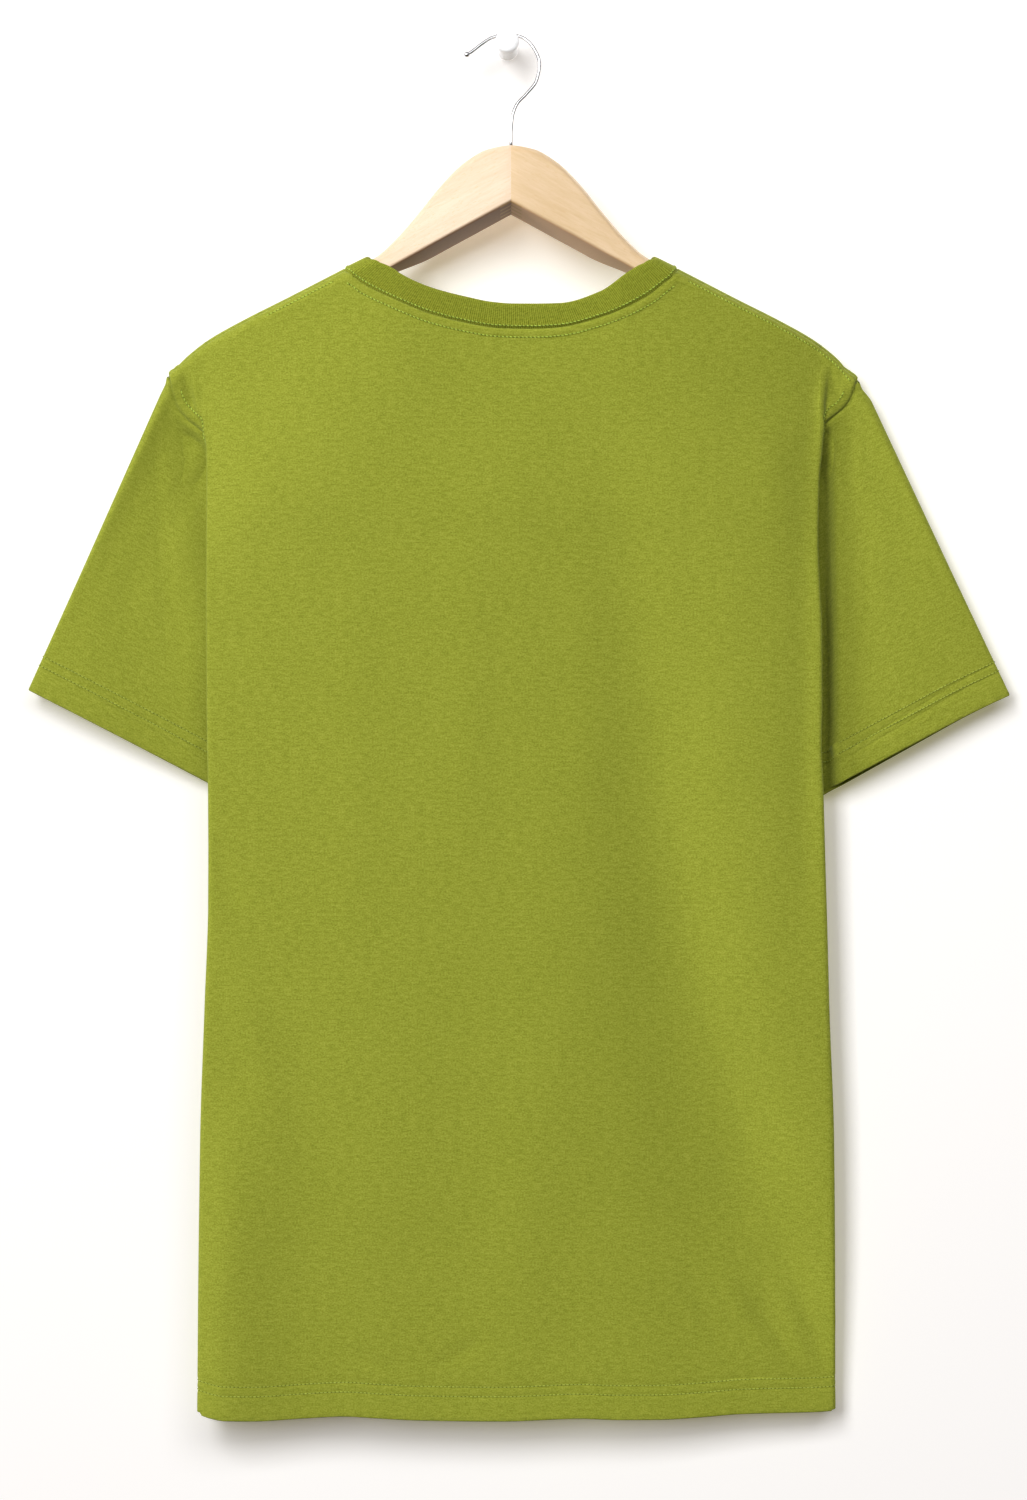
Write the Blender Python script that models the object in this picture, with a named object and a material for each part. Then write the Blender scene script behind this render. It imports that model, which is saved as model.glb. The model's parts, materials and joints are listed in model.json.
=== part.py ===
"""Short-sleeved jersey t-shirt hung on a contoured wooden hanger from a wall peg.

The origin is the middle of the peg's wall face. The wall is the plane y = 0, the viewer
stands at -Y and sees the back of the shirt, and +Z is up. Lengths below are millimetres
until an object is made. Angles are degrees.
"""
import math
from collections import namedtuple

import bpy
import bmesh
import numpy as np

MM = 0.001

# Cloth
CLOTH = 1.2               # jersey wall
HEM_CLOTH = 1.9           # turned-up hem wall
RIB_CLOTH = 2.0           # folded rib wall
HEM_DEPTH = 23.0
CUFF_HEM_DEPTH = 25.0
SEAM_GAP = 0.4            # between two sewn pieces
SLEEVE_GAP = 0.6          # at the armhole, where the seam also turns
SLEEVE_END_GAP = 1.1      # at the shoulder tip and the armpit
SLEEVE_HEAD = 0.9         # sleeve wall right at the armhole
HALF_CHEST = 275.0        # the shirt laid flat, armpit to armpit, halved
FOLD_RADIUS = 3.0         # outside radius where a panel folds back on itself
FRONT_INSET = 2.0         # the front's fold edge hides behind the back's
CLEARANCE = 0.8           # cloth to hanger
HEM_STEP = 2.0            # length over which a hem's wall thins to single cloth
BEYOND = 2.0              # how far a cloth grid is followed past its edge for directions
EDGE_POWER = 2.4          # how late the drape leaves its middle depth for its fold
HELD_DROP = 26.0          # drop below the ridge down to which the cloth lies on the arms
FREE_DROP = 150.0         # drop from which it hangs freely
HEM_LED = 150.0           # rows up to this height run along the hem
TOP_LED = 640.0           # rows from this height on run along the neck and shoulders

# Hanger
MIDDLE = 2.5              # x of the joint between the two arms
LEAN = 10.0               # the foot of the hanger stands away from the wall
ARM_REACH = 213.0
ARM_JOINT_GAP = 0.3
ARM_SWEEP = 0.16          # an arm runs back by this share of its length
ARM_BEND = 0.000375       # and by this much more per square millimetre
ARM_CROWN = 8.0           # height of the rounded top of an arm
ARM_CROWN_STEPS = 8
ARM_BEVEL = 2.0
WIRE_RADIUS = 1.15
WIRE_BULB = 1.9
WIRE_GAP = 0.3            # wire to hanger top
WIRE_DEPTH = -27.0        # y where the wire crosses the peg
PEG_NECK = 4.85

# Neck
SEAM_OVER = 3.5           # the shoulder seam lies this far down the back of the shoulder
NECK_HALF = 106.0
NECK_BACK_Z = -189.6
NECK_FRONT_Z = -240.0
RIB_HALF = 88.0
UNDER_RIB = 72.0          # the rib still passes in front of the arms this far in
RIB_BACK_Z = -173.1
RIB_FRONT_Z = -223.5
BACK_POWER = 1.7
FRONT_POWER = 2.3
ROLL = 9.0                # drop over which the cloth turns down from the shoulder ridge

# Arm sections by distance out from the joint
Arm = namedtuple("Arm", "out top foot thick")
ARM_SECTIONS = (
    Arm(0.0, -69.0, -109.5, 20.0),
    Arm(15.0, -71.4, -117.6, 20.0),
    Arm(30.0, -79.6, -125.6, 20.0),
    Arm(45.0, -94.0, -133.6, 20.0),
    Arm(60.0, -112.6, -141.8, 20.0),
    Arm(75.0, -130.4, -149.8, 20.0),
    Arm(88.0, -142.3, -157.0, 20.0),
    Arm(111.0, -153.3, -169.6, 19.5),
    Arm(150.0, -172.4, -191.0, 17.5),
    Arm(177.0, -185.4, -205.6, 16.0),
    Arm(198.0, -197.2, -214.0, 13.0),
    Arm(207.0, -203.4, -216.0, 11.0),
    Arm(213.0, -208.6, -215.5, 7.0),
)

# The cloth's highest line along a shoulder, by distance out
Ridge = namedtuple("Ridge", "out z")
RIDGE = (
    Ridge(0.0, -96.0),
    Ridge(88.0, -139.6),
    Ridge(111.0, -150.6),
    Ridge(150.0, -169.7),
    Ridge(177.0, -182.7),
    Ridge(201.0, -195.6),
    Ridge(210.0, -202.0),
    Ridge(217.5, -208.5),
    Ridge(223.0, -215.0),
    Ridge(229.0, -221.5),
    Ridge(236.0, -231.0),
)

# Body sections by height: fold edges seen from the back, and depths of both layers
Section = namedtuple("Section", "z left right near_edge near_mid far_edge far_mid")
SECTIONS = (
    Section(-195.0, -205.0, 213.0, -27.0, -50.0, -5.0, -22.0),
    Section(-232.0, -202.0, 209.0, -28.5, -49.5, -4.6, -20.0),
    Section(-262.0, -199.5, 207.0, -31.5, -49.0, -4.3, -19.0),
    Section(-305.0, -199.0, 205.3, -35.0, -48.0, -4.0, -17.0),
    Section(-410.0, -199.0, 205.8, -38.0, -46.0, -4.0, -14.5),
    Section(-495.0, -197.6, 208.4, -38.0, -44.5, -4.2, -13.0),
    Section(-566.0, -197.4, 211.0, -37.6, -43.0, -4.6, -12.0),
    Section(-640.0, -200.0, 213.0, -37.0, -41.8, -5.2, -11.4),
    Section(-725.0, -202.8, 216.0, -36.6, -40.6, -6.2, -11.0),
    Section(-820.0, -204.0, 217.0, -36.2, -39.6, -7.2, -10.8),
    Section(-912.0, -204.8, 217.8, -36.0, -39.0, -8.0, -10.8),
)

# Armhole by row: height at the body's fold and at the seam, cloth between them, how far
# it has turned behind the body. The last row is the armpit, where the whole side turns.
Armhole = namedtuple("Armhole", "fold_z seam_z reach turn")
ARMHOLE = (
    Armhole(-200.0, -223.5, 22.5, 6.0),
    Armhole(-202.5, -225.0, 22.4, 7.0),
    Armhole(-205.0, -226.5, 22.2, 8.0),
    Armhole(-207.5, -228.5, 22.0, 9.0),
    Armhole(-211.0, -231.0, 21.6, 11.0),
    Armhole(-217.0, -235.0, 21.0, 15.0),
    Armhole(-225.0, -240.0, 19.0, 21.0),
    Armhole(-234.0, -246.0, 13.5, 33.0),
    Armhole(-243.0, -252.0, 9.0, 66.0),
    Armhole(-252.0, -258.0, 9.6, 122.0),
    Armhole(-262.0, -265.0, 12.5, 165.0),
    Armhole(-273.0, -274.0, 15.5, 180.0),
    Armhole(-291.0, -291.0, 21.0, 180.0),
    Armhole(-318.0, -318.0, 30.0, 180.0),
    Armhole(-350.0, -350.0, 43.0, 180.0),
    Armhole(-380.0, -380.0, 56.0, 180.0),
    Armhole(-400.0, -400.0, 65.0, 180.0),
    Armhole(-408.5, -408.5, 69.6, 180.0),
    Armhole(-415.0, -415.0, 75.0, 180.0),
)
ARMPIT_Z = ARMHOLE[-1].fold_z
ABOVE_ARMHOLE = Armhole(-197.5, -222.0, 22.6, 5.0)

# Hem edge by distance across
Hem = namedtuple("Hem", "x z")
HEM = (
    Hem(-205.0, -904.6),
    Hem(-174.0, -909.4),
    Hem(-108.0, -907.0),
    Hem(-59.0, -909.6),
    Hem(80.0, -909.6),
    Hem(138.0, -907.2),
    Hem(218.0, -904.4),
)
HEM_CORNER_Z = -904.5

# Soft folds: from a top point to a foot point, raised by height, sunk where negative
CREASE_RISE = (-0.1, 0.4)  # shares of its length over which a fold sets in
CREASE_FALL = (0.7, 1.15)  # and over which it dies out
Crease = namedtuple("Crease", "top_x top_z foot_x foot_z height width")
BACK_CREASES = (
    Crease(48.0, -300.0, 94.0, -850.0, -4.2, 34.0),
    Crease(96.0, -262.0, 186.0, -884.0, 3.4, 27.0),
    Crease(-70.0, -300.0, -84.0, -850.0, 2.6, 42.0),
    Crease(-186.0, -575.0, -143.0, -750.0, 3.0, 15.0),
    Crease(-190.0, -700.0, -160.0, -912.0, -2.6, 16.0),
    Crease(-196.0, -500.0, -164.0, -566.0, -2.4, 10.0),
    Crease(150.0, -760.0, 196.0, -884.0, -2.0, 10.0),
    Crease(-66.0, -836.0, -28.0, -896.0, 1.6, 11.0),
)
FRONT_CREASES = (
    Crease(-60.0, -290.0, -92.0, -860.0, 3.6, 33.0),
    Crease(30.0, -330.0, 52.0, -800.0, -3.4, 36.0),
    Crease(118.0, -300.0, 160.0, -890.0, 2.8, 26.0),
    Crease(-168.0, -520.0, -128.0, -700.0, -2.4, 16.0),
    Crease(170.0, -560.0, 150.0, -690.0, -1.8, 13.0),
)

# Cuffs by side: the corner on the sleeve's top fold, the corner behind the body, half the
# gap between the layers, how far the front's edge hangs below the back's
Cuff = namedtuple("Cuff", "outer_x outer_z inner_x inner_z outer_y inner_y half_gap drop")
CUFFS = {
    -1: Cuff(-317.8, -427.6, -163.0, -507.0, -17.0, -20.0, 6.0, 1.0),
    1: Cuff(330.5, -431.0, 170.0, -512.0, -17.0, -20.0, 6.0, 4.0),
}
CUFF_FOLD = 0.03          # share of the half loop that both corner folds take
SLEEVE_BULGE = 1.6        # how far a sleeve's layers swell between armhole and cuff
BESIDE_TURN = (60.0, 120.0)  # turn over which the sleeve moves from end on to beside

# Rows and columns of the cloth grids
LOWER_ROWS = (0.0, HEM_DEPTH - HEM_STEP, HEM_DEPTH, 75.0, 140.0, 210.0, 280.0, 350.0, 410.0, 460.0)
SHOULDER_COLUMNS = 3
BACK_NECK_SHARES = (0.0, 0.17, 0.34, 0.5, 0.64, 0.76, 0.855, 0.915, 0.952, 0.978, 1.0)
FRONT_NECK_SHARES = (0.0, 0.35, 0.5, 0.67, 0.8, 0.88, 0.922, 0.947, 0.967, 0.984, 1.0)
FOLD_STEPS = 4
STRIP_SHARES = (0.776, 0.85, 0.925, 1.0)
SLEEVE_ROWS = (0.0, 0.07, 0.18, 0.34, 0.52, 0.7)
RIB_ROWS = (0.35, 0.7, 1.0)
RIB_BORDER = 0.15
ARM_STATIONS = (
    ARM_JOINT_GAP / 2, 8.0, 15.0, 22.0, 30.0, 38.0, 45.0, 52.0, 60.0, 68.0, 76.0, 82.0, 88.0,
    100.0, 115.0, 135.0, 160.0, 185.0, 198.0, 207.0, ARM_REACH,
)

# Hook wire route in the hanger's plane, ball end first
HOOK_ROUTE = (
    (-26.6, -7.6),
    (-23.2, -5.4),
    (-17.2, -0.6),
    (-9.4, 4.2),
    (0.0, 6.3),
    (9.6, 4.2),
    (17.6, -3.4),
    (21.4, -14.0),
    (19.4, -25.0),
    (12.4, -34.6),
    (6.2, -41.6),
    (3.4, -50.0),
    (2.5, -60.0),
)
HOOK_STEPS = 3
BULB_ANGLES = (20.0, 52.0, 86.0, 120.0, 143.0)
BULB_LENGTH = 2.0

# Peg profile: depth from the wall, radius
PEG_PROFILE = (
    (0.0, 7.0),
    (-3.0, 6.9),
    (-9.0, 6.2),
    (-16.0, 5.3),
    (-22.5, PEG_NECK),
    (-30.5, PEG_NECK),
    (-32.0, 6.2),
    (-33.4, 7.6),
    (-35.6, 8.0),
    (-38.0, 7.6),
    (-39.6, 6.0),
    (-40.3, 3.2),
)
PEG_SIDES = 28
SHARP_ANGLE = 40.0

SIN_LEAN = math.sin(math.radians(LEAN))
COS_LEAN = math.cos(math.radians(LEAN))
HOOK_TOP = max(z for _, z in HOOK_ROUTE)


def curve_through(knots, values):
    """Smooth function through the knots that never swings past them."""
    order = np.argsort(knots)
    xs = np.asarray(knots, float)[order]
    ys = np.asarray(values, float)[order]
    step = np.diff(xs)
    slope = np.diff(ys) / step
    tangent = np.zeros_like(ys)
    for i in range(1, len(xs) - 1):
        if slope[i - 1] * slope[i] > 0:
            before = step[i - 1] + 2 * step[i]
            after = 2 * step[i - 1] + step[i]
            tangent[i] = (before + after) / (before / slope[i - 1] + after / slope[i])
    tangent[0] = slope[0]
    tangent[-1] = slope[-1]

    def at(x):
        x = np.clip(x, xs[0], xs[-1])
        i = np.clip(np.searchsorted(xs, x, side="right") - 1, 0, len(step) - 1)
        t = (x - xs[i]) / step[i]
        rise = ys[i] * (1 + 2 * t) * (1 - t) ** 2 + ys[i + 1] * t * t * (3 - 2 * t)
        return rise + step[i] * (tangent[i] * t * (1 - t) ** 2 - tangent[i + 1] * t * t * (1 - t))

    return at


def column(rows, key, value):
    """Smooth function of one named column of a table by another."""
    return curve_through([getattr(r, key) for r in rows], [getattr(r, value) for r in rows])


def smooth_step(value, low, high):
    t = np.clip((value - low) / (high - low), 0.0, 1.0)
    return t * t * (3.0 - 2.0 * t)


arm_top = column(ARM_SECTIONS, "out", "top")
arm_foot = column(ARM_SECTIONS, "out", "foot")
arm_thick = column(ARM_SECTIONS, "out", "thick")
ridge_z = column(RIDGE, "out", "z")
left_edge = column(SECTIONS, "z", "left")
right_edge = column(SECTIONS, "z", "right")
near_edge = column(SECTIONS, "z", "near_edge")
near_mid = column(SECTIONS, "z", "near_mid")
far_edge = column(SECTIONS, "z", "far_edge")
far_mid = column(SECTIONS, "z", "far_mid")
hem_z = column(HEM, "x", "z")


def arm_sweep(out):
    """How far an arm has curved back towards the wall."""
    return ARM_SWEEP * out + ARM_BEND * out * out


def arm_y(out, z):
    """Depth of an arm's middle plane, with the hanger's lean."""
    sweep = arm_sweep(out)
    height = (z - HOOK_TOP + sweep * SIN_LEAN) / COS_LEAN
    return WIRE_DEPTH + sweep * COS_LEAN + height * SIN_LEAN


def shoulder_near(out):
    out = np.clip(out, UNDER_RIB, ARM_REACH)
    return arm_y(out, arm_foot(out)) - arm_thick(out) / 2 * COS_LEAN - CLOTH - CLEARANCE


def shoulder_far(out):
    out = np.clip(out, RIB_HALF, ARM_REACH)
    return arm_y(out, arm_top(out)) + arm_thick(out) / 2 * COS_LEAN + CLOTH + CLEARANCE


def crown_y(out):
    out = np.clip(out, RIB_HALF, ARM_REACH)
    return arm_y(out, ridge_z(out))


def crease_lift(creases, x, z):
    """Sum of the soft folds at a point of a panel."""
    lift = 0.0
    for c in creases:
        run_x = c.foot_x - c.top_x
        run_z = c.foot_z - c.top_z
        length = math.hypot(run_x, run_z)
        along = ((x - c.top_x) * run_x + (z - c.top_z) * run_z) / length
        across = ((x - c.top_x) * run_z - (z - c.top_z) * run_x) / length
        share = along / length
        ends = smooth_step(share, *CREASE_RISE) * (1 - smooth_step(share, *CREASE_FALL))
        lift = lift + c.height * ends * np.exp(-((across / c.width) ** 2))
    return lift


def layer_y(x, z, edge, mid, shoulder):
    """Depth of one layer of the body, from the shoulder profile down to the hem."""
    centre = (left_edge(z) + right_edge(z)) / 2
    half = (right_edge(z) - left_edge(z)) / 2
    across = np.clip(np.abs(x - centre) / half, 0.0, 1.0)
    hanging = mid(z) + (edge(z) - mid(z)) * across ** EDGE_POWER
    out = np.abs(x - MIDDLE)
    free = smooth_step(ridge_z(out) - z, HELD_DROP, FREE_DROP)
    return shoulder(out) + (hanging - shoulder(out)) * free


def near_y(x, z):
    """Outside of the back panel, towards the viewer."""
    return layer_y(x, z, near_edge, near_mid, shoulder_near) - crease_lift(BACK_CREASES, x, z)


def far_y(x, z):
    """Outside of the front panel, towards the wall."""
    return layer_y(x, z, far_edge, far_mid, shoulder_far) + crease_lift(FRONT_CREASES, x, z)


def roll_over(x, nominal_z, near, far, is_back):
    """Turn a hanging point over the shoulder ridge. A height past the ridge is on the other side."""
    out = np.abs(x - MIDDLE)
    drop = ridge_z(out) - nominal_z
    on_back = np.where(drop >= 0, is_back, not is_back)
    drop = np.abs(drop)
    angle = np.clip(drop / ROLL, 0.0, 1.0) * math.pi / 2
    z = ridge_z(out) - np.where(drop < ROLL, ROLL * (1 - np.cos(angle)), drop)
    crown = crown_y(out)
    side = np.where(on_back, near, far)
    return np.stack([x + 0 * z, crown + (side - crown) * np.sin(angle), z], axis=-1)


def hang(x, nominal_z, is_back):
    x = np.asarray(x, float)
    nominal_z = np.asarray(nominal_z, float)
    return roll_over(x, nominal_z, near_y(x, nominal_z), far_y(x, nominal_z), is_back)


def neck_curve(x, is_back, half, low):
    """Nominal height of the neck seam, or of the rib's edge, across the neck."""
    over = -SEAM_OVER if is_back else SEAM_OVER - SEAM_GAP
    high = ridge_z(half) + over
    power = BACK_POWER if is_back else FRONT_POWER
    share = np.clip(np.abs(x - MIDDLE) / half, 0.0, 1.0)
    return low + (high - low) * share ** power


def top_edge(x, is_back):
    """Nominal height of a panel's top: shoulder seams, and the neck between them."""
    over = -SEAM_OVER if is_back else SEAM_OVER - SEAM_GAP
    neck = neck_curve(x, is_back, NECK_HALF, NECK_BACK_Z if is_back else NECK_FRONT_Z)
    out = np.abs(x - MIDDLE)
    return np.where(out < NECK_HALF, neck, ridge_z(out) + over)


def fold_path(distance, turn, quarter, total):
    """Plan path of the cloth past the body's fold: how far out, how far back, heading."""
    turn = math.radians(turn)
    arc = FOLD_RADIUS * turn
    if distance <= arc:
        heading = distance / FOLD_RADIUS
        return FOLD_RADIUS * math.sin(heading), FOLD_RADIUS * (1 - math.cos(heading)), heading
    side_start = total - quarter * math.pi / 2
    straight = min(distance, side_start) - arc
    out = FOLD_RADIUS * math.sin(turn) + straight * math.cos(turn)
    back = FOLD_RADIUS * (1 - math.cos(turn)) + straight * math.sin(turn)
    heading = turn
    if distance > side_start:
        bend = (distance - side_start) / quarter
        out -= quarter * math.sin(bend)
        back += quarter * (1 - math.cos(bend))
        heading = turn - bend
    return out, back, heading


def fold_base(side, z, is_back):
    """Where a panel starts to turn behind the body, and the depth there."""
    edge = right_edge(z) if side > 0 else left_edge(z)
    inset = FOLD_RADIUS if is_back else FOLD_RADIUS + FRONT_INSET
    x = edge - side * inset
    return x, near_y(x, z) if is_back else far_y(x, z)


def side_strip(side, row, is_back):
    """Points of one row past the fold, and the seam's outward and outside directions.

    The last point lies beyond the seam and only gives the wall its direction there.
    """
    bases = {back: fold_base(side, row.fold_z, back) for back in (True, False)}
    x_base, _ = bases[is_back]
    room = (bases[False][1] - bases[True][1]) / 2 - 2 * FOLD_RADIUS
    quarter = room - SEAM_GAP / 2
    centre = (left_edge(row.fold_z) + right_edge(row.fold_z)) / 2
    total = HALF_CHEST - abs(x_base - centre)
    reach = row.reach if is_back else row.reach + FRONT_INSET
    if row.fold_z <= ARMPIT_Z:
        reach = total
    arc = FOLD_RADIUS * math.radians(row.turn)
    stations = [arc * i / FOLD_STEPS for i in range(1, FOLD_STEPS + 1)]
    stations += [arc + (reach - arc) * share for share in STRIP_SHARES]
    stations.append(reach + BEYOND)
    points = []
    heading = fold_path(reach, row.turn, quarter, total)[2]
    for distance in stations:
        out, back, _ = fold_path(distance, row.turn, quarter, total)
        z = row.fold_z + (row.seam_z - row.fold_z) * distance / reach
        near = bases[True][1] + back
        far = bases[False][1] - back
        points.append(roll_over(np.float64(x_base + side * out), z, near, far, is_back))
    inward = 1.0 if is_back else -1.0
    along = np.array([side * math.cos(heading), inward * math.sin(heading), 0.0])
    outside = np.array([side * math.sin(heading), -inward * math.cos(heading), 0.0])
    return np.array(points), along, outside


def panel_rows():
    """Rows from below the hem up past the shoulder seam, with the armhole's values there."""
    heights = (-BEYOND,) + LOWER_ROWS
    rows = [Armhole(HEM_CORNER_Z + h, HEM_CORNER_Z + h, 0.0, 180.0) for h in heights]
    rows += list(reversed(ARMHOLE))
    rows.append(ABOVE_ARMHOLE)
    return rows


def neck_stations(is_back):
    """Places across the neck, shared by a panel and the rib, from -1 to 1."""
    half = np.array(BACK_NECK_SHARES if is_back else FRONT_NECK_SHARES)
    return np.concatenate([-half[::-1], half[1:]])


def panel_grid(is_back):
    """Outside points of a body panel with a border beyond each edge, and its wall thickness."""
    top = ARMHOLE[0].fold_z
    left = fold_base(-1, top, is_back)[0]
    right = fold_base(1, top, is_back)[0]
    neck_left = MIDDLE - NECK_HALF
    neck_right = MIDDLE + NECK_HALF
    across = np.concatenate([
        np.linspace(left, neck_left, SHOULDER_COLUMNS + 1)[:-1],
        MIDDLE + NECK_HALF * neck_stations(is_back),
        np.linspace(neck_right, right, SHOULDER_COLUMNS + 1)[1:],
    ])
    shares = (across - left) / (right - left)
    fold_height = top - HEM_CORNER_Z
    grid = []
    walls = []
    for row in panel_rows():
        x_left = fold_base(-1, row.fold_z, is_back)[0]
        x_right = fold_base(1, row.fold_z, is_back)[0]
        x = x_left + shares * (x_right - x_left)
        height = row.fold_z - HEM_CORNER_Z
        follow = smooth_step(height, HEM_LED, TOP_LED)
        low = hem_z(x)
        spare = (top_edge(x, is_back) - low) - fold_height
        inner = hang(x, low + height + spare * follow, is_back)
        strip_left = side_strip(-1, row, is_back)[0][::-1]
        strip_right = side_strip(1, row, is_back)[0]
        grid.append(np.concatenate([strip_left, inner, strip_right]))
        walls.append(HEM_CLOTH if height < HEM_DEPTH - HEM_STEP / 2 else CLOTH)
    return np.array(grid), np.array(walls[1:-1])


def trim_border(grid, closed):
    """The grid inside its border, and the unit normals there."""
    if closed:
        along = (np.roll(grid, -1, axis=1) - np.roll(grid, 1, axis=1))[1:-1]
        up = grid[2:] - grid[:-2]
        inside = grid[1:-1]
    else:
        along = (grid[:, 2:] - grid[:, :-2])[1:-1]
        up = (grid[2:] - grid[:-2])[:, 1:-1]
        inside = grid[1:-1, 1:-1]
    normal = np.cross(along, up)
    return inside, normal / np.linalg.norm(normal, axis=2, keepdims=True)


def material(name, colour, roughness, metallic=0.0):
    made = bpy.data.materials.new(name)
    made.use_nodes = True
    shader = made.node_tree.nodes["Principled BSDF"]
    shader.inputs["Base Color"].default_value = (*colour, 1.0)
    shader.inputs["Roughness"].default_value = roughness
    shader.inputs["Metallic"].default_value = metallic
    return made


def add_object(name, mesh, finish):
    mesh.materials.append(finish)
    mesh.shade_smooth()
    mesh.set_sharp_from_angle(angle=math.radians(SHARP_ANGLE))
    made = bpy.data.objects.new(name, mesh)
    bpy.context.collection.objects.link(made)
    return made


def add_mesh(name, points, faces, finish):
    """One object from points in millimetres, its faces turned to point out of the solid."""
    mesh = bpy.data.meshes.new(name)
    mesh.from_pydata([tuple(p * MM for p in point) for point in points], [], faces)
    work = bmesh.new()
    work.from_mesh(mesh)
    bmesh.ops.recalc_face_normals(work, faces=work.faces)
    if work.calc_volume(signed=True) < 0:
        bmesh.ops.reverse_faces(work, faces=work.faces)
    work.to_mesh(mesh)
    work.free()
    return add_object(name, mesh, finish)


def add_wall(name, bordered, walls, finish, outside_sign, closed=False, proud=0.0):
    """A cloth wall: the grid is its outside, and the inside lies one thickness behind."""
    grid, normals = trim_border(bordered, closed)
    rows, columns, _ = grid.shape
    grid = grid + outside_sign * normals * proud
    inside = grid - outside_sign * normals * np.reshape(walls, (-1, 1, 1))
    points = np.concatenate([grid.reshape(-1, 3), inside.reshape(-1, 3)])
    behind = rows * columns

    def at(r, c):
        return r * columns + c % columns

    faces = []
    for r in range(rows - 1):
        for c in range(columns if closed else columns - 1):
            ring = (at(r, c), at(r, c + 1), at(r + 1, c + 1), at(r + 1, c))
            faces.append(ring)
            faces.append(tuple(behind + i for i in reversed(ring)))
    for c in range(columns if closed else columns - 1):
        for r, order in ((0, 1), (rows - 1, -1)):
            rim = (at(r, c), behind + at(r, c), behind + at(r, c + 1), at(r, c + 1))
            faces.append(rim[::order])
    if not closed:
        for r in range(rows - 1):
            for c, order in ((0, -1), (columns - 1, 1)):
                rim = (at(r, c), behind + at(r, c), behind + at(r + 1, c), at(r + 1, c))
                faces.append(rim[::order])
    return add_mesh(name, points, faces, finish)


def add_panel(name, is_back, finish):
    grid, walls = panel_grid(is_back)
    return add_wall(name, grid, walls, finish, 1.0 if is_back else -1.0)


def seam_ring(side):
    """The armhole as the sleeve meets it: down the back panel's edge, up the front's."""
    ring = []
    for is_back in (True, False):
        edge = []
        for row in ARMHOLE:
            points, along, outside = side_strip(side, row, is_back)
            beside = smooth_step(row.turn, *BESIDE_TURN)
            gap = SLEEVE_END_GAP if row in (ARMHOLE[0], ARMHOLE[-1]) else SLEEVE_GAP
            edge.append(points[-2] + gap * (along * (1 - beside) + outside * beside))
        ring += edge if is_back else edge[::-1]
    return np.array(ring)


def cuff_ring(side, shares):
    """A flattened loop at the cuff with the same stations as the armhole."""
    cuff = CUFFS[side]
    ring = []
    for is_back in (True, False):
        half = []
        for share in shares:
            angle = math.pi * (CUFF_FOLD + (1 - 2 * CUFF_FOLD) * share)
            place = (1 - math.cos(angle)) / 2
            plump = math.sqrt(math.sin(angle)) * cuff.half_gap
            x = cuff.outer_x + (cuff.inner_x - cuff.outer_x) * place
            y = cuff.outer_y + (cuff.inner_y - cuff.outer_y) * place
            z = cuff.outer_z + (cuff.inner_z - cuff.outer_z) * place
            if is_back:
                half.append((x, y - plump, z))
            else:
                half.append((x, y + plump, z - cuff.drop * place))
        ring += half if is_back else half[::-1]
    return np.array(ring)


def add_sleeve(name, side, finish):
    start = seam_ring(side)
    count = len(ARMHOLE)
    edge = start[:count]
    walked = np.concatenate([[0.0], np.cumsum(np.linalg.norm(np.diff(edge, axis=0), axis=1))])
    end = cuff_ring(side, walked / walked[-1])
    length = np.linalg.norm(end[0] - start[0])
    hem = 1.0 - CUFF_HEM_DEPTH / length
    border = BEYOND / length
    shares = [-border] + list(SLEEVE_ROWS) + [hem - HEM_STEP / length, hem, 1.0, 1.0 + border]
    facing = np.array([-1.0] * count + [1.0] * count)
    plump = np.sin(np.linspace(0.0, math.pi, count))
    plump = np.concatenate([plump, plump[::-1]])
    grid = []
    for share in shares:
        ring = start + (end - start) * share
        ring[:, 1] += facing * plump * SLEEVE_BULGE * math.sin(math.pi * min(share, 1.0))
        grid.append(ring)
    walls = np.array([SLEEVE_HEAD] + [CLOTH] * (len(shares) - 5) + [HEM_CLOTH] * 2)
    return add_wall(name, np.array(grid), walls, finish, float(side), closed=True)


def neck_ring(share):
    """A closed line round the neck, share of the way from the seam to the rib's edge."""
    ring = []
    for is_back in (True, False):
        stations = neck_stations(is_back) * (1 if is_back else -1)
        seam_x = MIDDLE + NECK_HALF * stations
        seam_z = neck_curve(seam_x, is_back, NECK_HALF, NECK_BACK_Z if is_back else NECK_FRONT_Z)
        edge_x = MIDDLE + RIB_HALF * stations
        edge_z = neck_curve(edge_x, is_back, RIB_HALF, RIB_BACK_Z if is_back else RIB_FRONT_Z)
        x = seam_x + (edge_x - seam_x) * share
        z = seam_z + (edge_z - seam_z) * share
        ring.append(hang(x, z, is_back))
    return np.concatenate(ring)


def add_rib(name, finish):
    """The neck band: it carries the drape of both panels on towards the neck's opening."""
    seam_share = SEAM_GAP / (RIB_BACK_Z - NECK_BACK_Z)
    rows = (seam_share - RIB_BORDER, seam_share) + RIB_ROWS + (RIB_ROWS[-1] + RIB_BORDER,)
    grid = np.array([neck_ring(share) for share in rows])
    walls = np.full(len(rows) - 2, RIB_CLOTH)
    return add_wall(name, grid, walls, finish, 1.0, closed=True, proud=RIB_CLOTH - CLOTH)


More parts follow.
